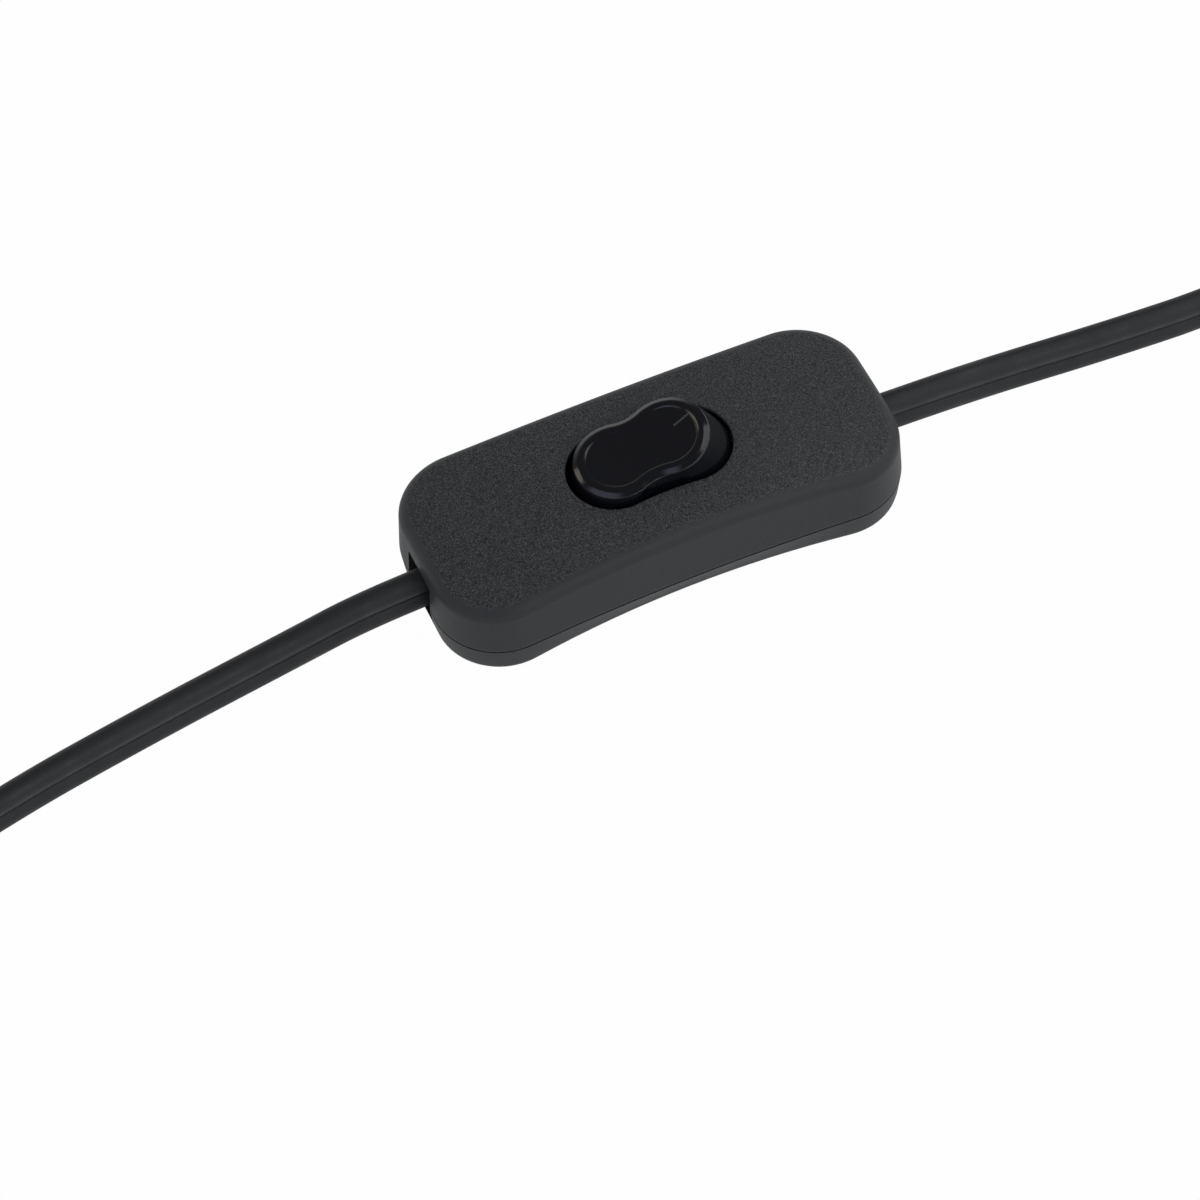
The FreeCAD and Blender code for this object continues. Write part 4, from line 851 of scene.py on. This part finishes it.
def paper_backdrop(pale):
    """Matt paper that keeps the object's shadow, and glows in the plain pale colour where it is seen. A
    third of what the part mirrors of it is the real, shaded paper."""
    sheet = bpy.data.materials.new("paper_backdrop")
    sheet.use_nodes = True
    tree = sheet.node_tree
    tree.nodes.clear()
    matt = node(tree, "ShaderNodeBsdfDiffuse", {"Color": linear("#BCC0C8")})
    white = node(tree, "ShaderNodeEmission", {"Color": pale, "Strength": 1.0})
    share = node(tree, "ShaderNodeMath", {0: seen_light(tree, PAPER_MIRRORED), 1: PAPER_COVER},
                 operation="MULTIPLY")
    both = node(tree, "ShaderNodeMixShader",
                {0: share.outputs[0], 1: matt.outputs[0], 2: white.outputs[0]})
    node(tree, "ShaderNodeOutputMaterial", {"Surface": both.outputs[0]})
    return sheet


def studio_world(pale):
    """The room round the object, plain and pale for the camera. In reflections the paper sweeps up and
    fades out, so that they meet a dark ceiling, and a large cool diffuser hangs over the near left side. On
    the object it lights at one even level."""
    world = bpy.data.worlds.new("studio")
    world.use_nodes = True
    tree = world.node_tree
    tree.nodes.clear()
    direction = node(tree, "ShaderNodeTexCoord").outputs["Generated"]
    height = node(tree, "ShaderNodeSeparateXYZ", {0: direction}).outputs["Z"]
    sweep = node(tree, "ShaderNodeMapRange",
                 {"Value": height, "From Min": PAPER_FADE[0], "From Max": PAPER_FADE[1], "To Min": 1.0,
                  "To Max": CEILING}, interpolation_type="SMOOTHSTEP")
    towards = node(tree, "ShaderNodeVectorMath", {0: direction, 1: DIFFUSER_SIDE}, operation="DOT_PRODUCT")
    diffuser = node(tree, "ShaderNodeMapRange",
                    {"Value": towards.outputs["Value"], "From Min": DIFFUSER_EDGE[0],
                     "From Max": DIFFUSER_EDGE[1], "To Min": 0.0, "To Max": 1.0},
                    interpolation_type="SMOOTHSTEP")
    bright = node(tree, "ShaderNodeMath", {0: sweep.outputs[0], 1: diffuser.outputs[0]}, operation="MAXIMUM")
    path = node(tree, "ShaderNodeLightPath").outputs
    plain = node(tree, "ShaderNodeMath", {0: path["Is Camera Ray"], 1: bright.outputs[0]},
                 operation="MAXIMUM")
    lit = node(tree, "ShaderNodeMix", {"Factor": seen_light(tree), "A": ROOM_LIGHT, "B": plain.outputs[0]},
               data_type="FLOAT")
    cool = node(tree, "ShaderNodeMath", {0: diffuser.outputs[0], 1: path["Is Glossy Ray"]},
                operation="MULTIPLY")
    tint = node(tree, "ShaderNodeMix", {"Factor": cool.outputs[0], "A": pale, "B": linear("#DCE6FF")},
                data_type="RGBA")
    glow = node(tree, "ShaderNodeBackground", {"Color": tint.outputs["Result"], "Strength": lit.outputs[0]})
    node(tree, "ShaderNodeOutputWorld", {"Surface": glow.outputs[0]})
    return world


def add_lamp(name, place, size, power, tint):
    """A soft rectangular lamp in metres that looks at the object."""
    lamp = bpy.data.lights.new(name, "AREA")
    lamp.shape = "RECTANGLE"
    lamp.size, lamp.size_y = size
    lamp.energy = power
    lamp.color = linear(tint)[:3]
    holder = bpy.data.objects.new(name, lamp)
    holder.location = place
    holder.rotation_euler = (Vector(LAMP_AIM) - Vector(place)).to_track_quat("-Z", "Y").to_euler()
    bpy.context.scene.collection.objects.link(holder)


def fitted_camera(lens):
    """The camera at the photograph's viewing angle, on a full-frame sensor."""
    camera = bpy.data.cameras.new("camera")
    camera.lens = lens
    camera.sensor_width = 36.0
    camera.clip_start, camera.clip_end = 0.01, 20.0
    holder = bpy.data.objects.new("camera", camera)
    turn = Matrix((CAMERA_RIGHT, CAMERA_UP, CAMERA_BACK)).transposed().to_4x4()
    holder.matrix_world = Matrix.Translation(CAMERA_PLACE) @ turn
    bpy.context.scene.collection.objects.link(holder)
    return holder


# Operators

class CORDSWITCH_OT_cover(bpy.types.Operator):
    """Build the tall waisted top cover with its crowned, grained top"""

    bl_idname = "cordswitch.cover"
    bl_label = "Top cover"

    def execute(self, context):
        settings = context.scene.cordswitch_housing
        piece = grid_piece("cover_shell", cover_grid(settings), wrap_rows=True, smooth=40)
        store_grain(piece, settings)
        dress(piece, grained_abs(tuple(settings.plastic), settings.grain), "housing")
        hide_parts("top_cover")
        return {"FINISHED"}


class CORDSWITCH_OT_base(bpy.types.Operator):
    """Finish the low base cover and everything inside the housing"""

    bl_idname = "cordswitch.base"
    bl_label = "Base and inner parts"

    def execute(self, context):
        dress_node("base_cover", fine_abs(tuple(context.scene.cordswitch_housing.plastic)))
        brass, silver, steel, copper = [worked_metal(name) for name in (
            "brass_stamped", "silver_alloy_rivet", "steel_zinc_plated", "copper_tinned")]
        acetal = moulded_nylon("acetal_natural", "#E4E2DA")
        clamp = moulded_nylon("nylon_glass_filled", "#2C2C2E")
        core = flexible_pvc(tuple(context.scene.cordswitch_cords.skin))
        finish = {"contact_blade": brass, "common_terminal": brass, "fixed_terminal": brass,
                  "neutral_link": brass, "moving_contact": silver, "fixed_contact": silver,
                  "plunger": acetal, "plunger_spring": steel}
        for side in ("left", "right"):
            finish["clamp_bar_" + side] = clamp
            finish["case_screw_" + side] = steel
            for place in ("front", "rear"):
                finish["clamp_screw_%s_%s" % (side, place)] = steel
            for line in ("live", "neutral"):
                finish["%s_screw_%s" % (line, side)] = steel
                finish["%s_core_%s" % (line, side)] = core
                finish["%s_strands_%s" % (line, side)] = copper
        for name, material in finish.items():
            dress_node(name, material)
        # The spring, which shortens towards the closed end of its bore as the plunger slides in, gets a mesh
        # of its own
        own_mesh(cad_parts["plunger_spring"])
        return {"FINISHED"}


class CORDSWITCH_OT_rocker(bpy.types.Operator):
    """Build the polished rocker with its raised border and dished face, and the ON mark"""

    bl_idname = "cordswitch.rocker"
    bl_label = "Rocker"

    def execute(self, context):
        settings = context.scene.cordswitch_rocker
        grid = seated(rocker_grid(settings), settings.tilt)
        piece = grid_piece("rocker_cap", grid, smooth=38)
        dress(piece, polished_abs(tuple(settings.plastic)), "rocker")
        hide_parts("rocker")
        mark = grid_piece("on_mark", seated(mark_grid(settings), settings.tilt), wrap_rows=True,
                          wrap_columns=False)
        dress(mark, printed_mark(tuple(settings.mark)), "rocker")
        return {"FINISHED"}


class CORDSWITCH_OT_cords(bpy.types.Operator):
    """Lay the two leads of flat twin cord and strip their far ends"""

    bl_idname = "cordswitch.cords"
    bl_label = "Cords"

    def execute(self, context):
        settings = context.scene.cordswitch_cords
        thickness = settings.thickness / MM
        ring = twin_section(thickness, settings.web)
        skin = flexible_pvc(tuple(settings.skin))
        tin = worked_metal("copper_tinned_twisted")
        for side, sign in (("left", -1), ("right", 1)):
            route = spline_points(ROUTES[side])
            line, run = evenly(route / MM, CORD_STEP)
            grid, axes = swept(line, ring)
            cord = grid_piece("cord_skin_" + side, capped(grid), smooth=50)
            dress(cord, skin, "housing")
            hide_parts("cord_" + side)
            tips = strand_bundles(line[-1], [axis[-1] for axis in axes], thickness / 2)
            ends = new_piece("stripped_ends_" + side, *tips, smooth=60)
            dress(ends, tin, "housing")
            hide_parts("tinned_ends_" + side)
        return {"FINISHED"}


class CORDSWITCH_OT_stage(bpy.types.Operator):
    """Set up the pale floor, the soft lamps and the camera"""

    bl_idname = "cordswitch.stage"
    bl_label = "Stage"

    def execute(self, context):
        settings = context.scene.cordswitch_stage
        pale = tuple(settings.backdrop)
        floor = flat_plane("floor", FLOOR_HALF)
        floor.location.z = -FLOOR_DROP * MM
        floor.data.materials.append(paper_backdrop(pale))
        context.scene.world = studio_world(pale)
        for name, (place, size, share, tint) in LAMPS.items():
            add_lamp(name, place, size, settings.key * share, tint)
        context.scene.camera = fitted_camera(settings.lens)
        context.scene.view_settings.view_transform = "Standard"
        return {"FINISHED"}


class CORDSWITCH_PT_panel(bpy.types.Panel):
    """Sizes, colours and build steps of the cord switch"""

    bl_idname = "CORDSWITCH_PT_panel"
    bl_label = "Cord switch"
    bl_space_type = "VIEW_3D"
    bl_region_type = "UI"
    bl_category = "Cord switch"

    def draw(self, context):
        scene = context.scene
        for title, group in GROUPS:
            box = self.layout.box()
            box.label(text=title)
            settings = getattr(scene, group)
            for name in settings.bl_rna.properties.keys():
                if name not in ("rna_type", "name"):
                    box.prop(settings, name)
        for step in STEPS:
            self.layout.operator(step.bl_idname)


GROUPS = (("Housing", "cordswitch_housing"), ("Rocker", "cordswitch_rocker"),
          ("Cords", "cordswitch_cords"), ("Stage", "cordswitch_stage"))
SETTINGS = (HousingSettings, RockerSettings, CordSettings, StageSettings)
STEPS = (CORDSWITCH_OT_stage, CORDSWITCH_OT_cords, CORDSWITCH_OT_cover, CORDSWITCH_OT_base,
         CORDSWITCH_OT_rocker)


def register():
    for kind in (*SETTINGS, *STEPS, CORDSWITCH_PT_panel):
        bpy.utils.register_class(kind)
    for (_, group), kind in zip(GROUPS, SETTINGS):
        setattr(bpy.types.Scene, group, PointerProperty(type=kind))


def unregister():
    for _, group in GROUPS:
        delattr(bpy.types.Scene, group)
    for kind in (CORDSWITCH_PT_panel, *reversed(STEPS), *reversed(SETTINGS)):
        bpy.utils.unregister_class(kind)


def main():
    """Builds the switch on its stage."""
    register()
    for step in ("stage", "cords", "cover", "base", "rocker"):
        getattr(bpy.ops.cordswitch, step)()


if __name__ == "__main__":
    main()
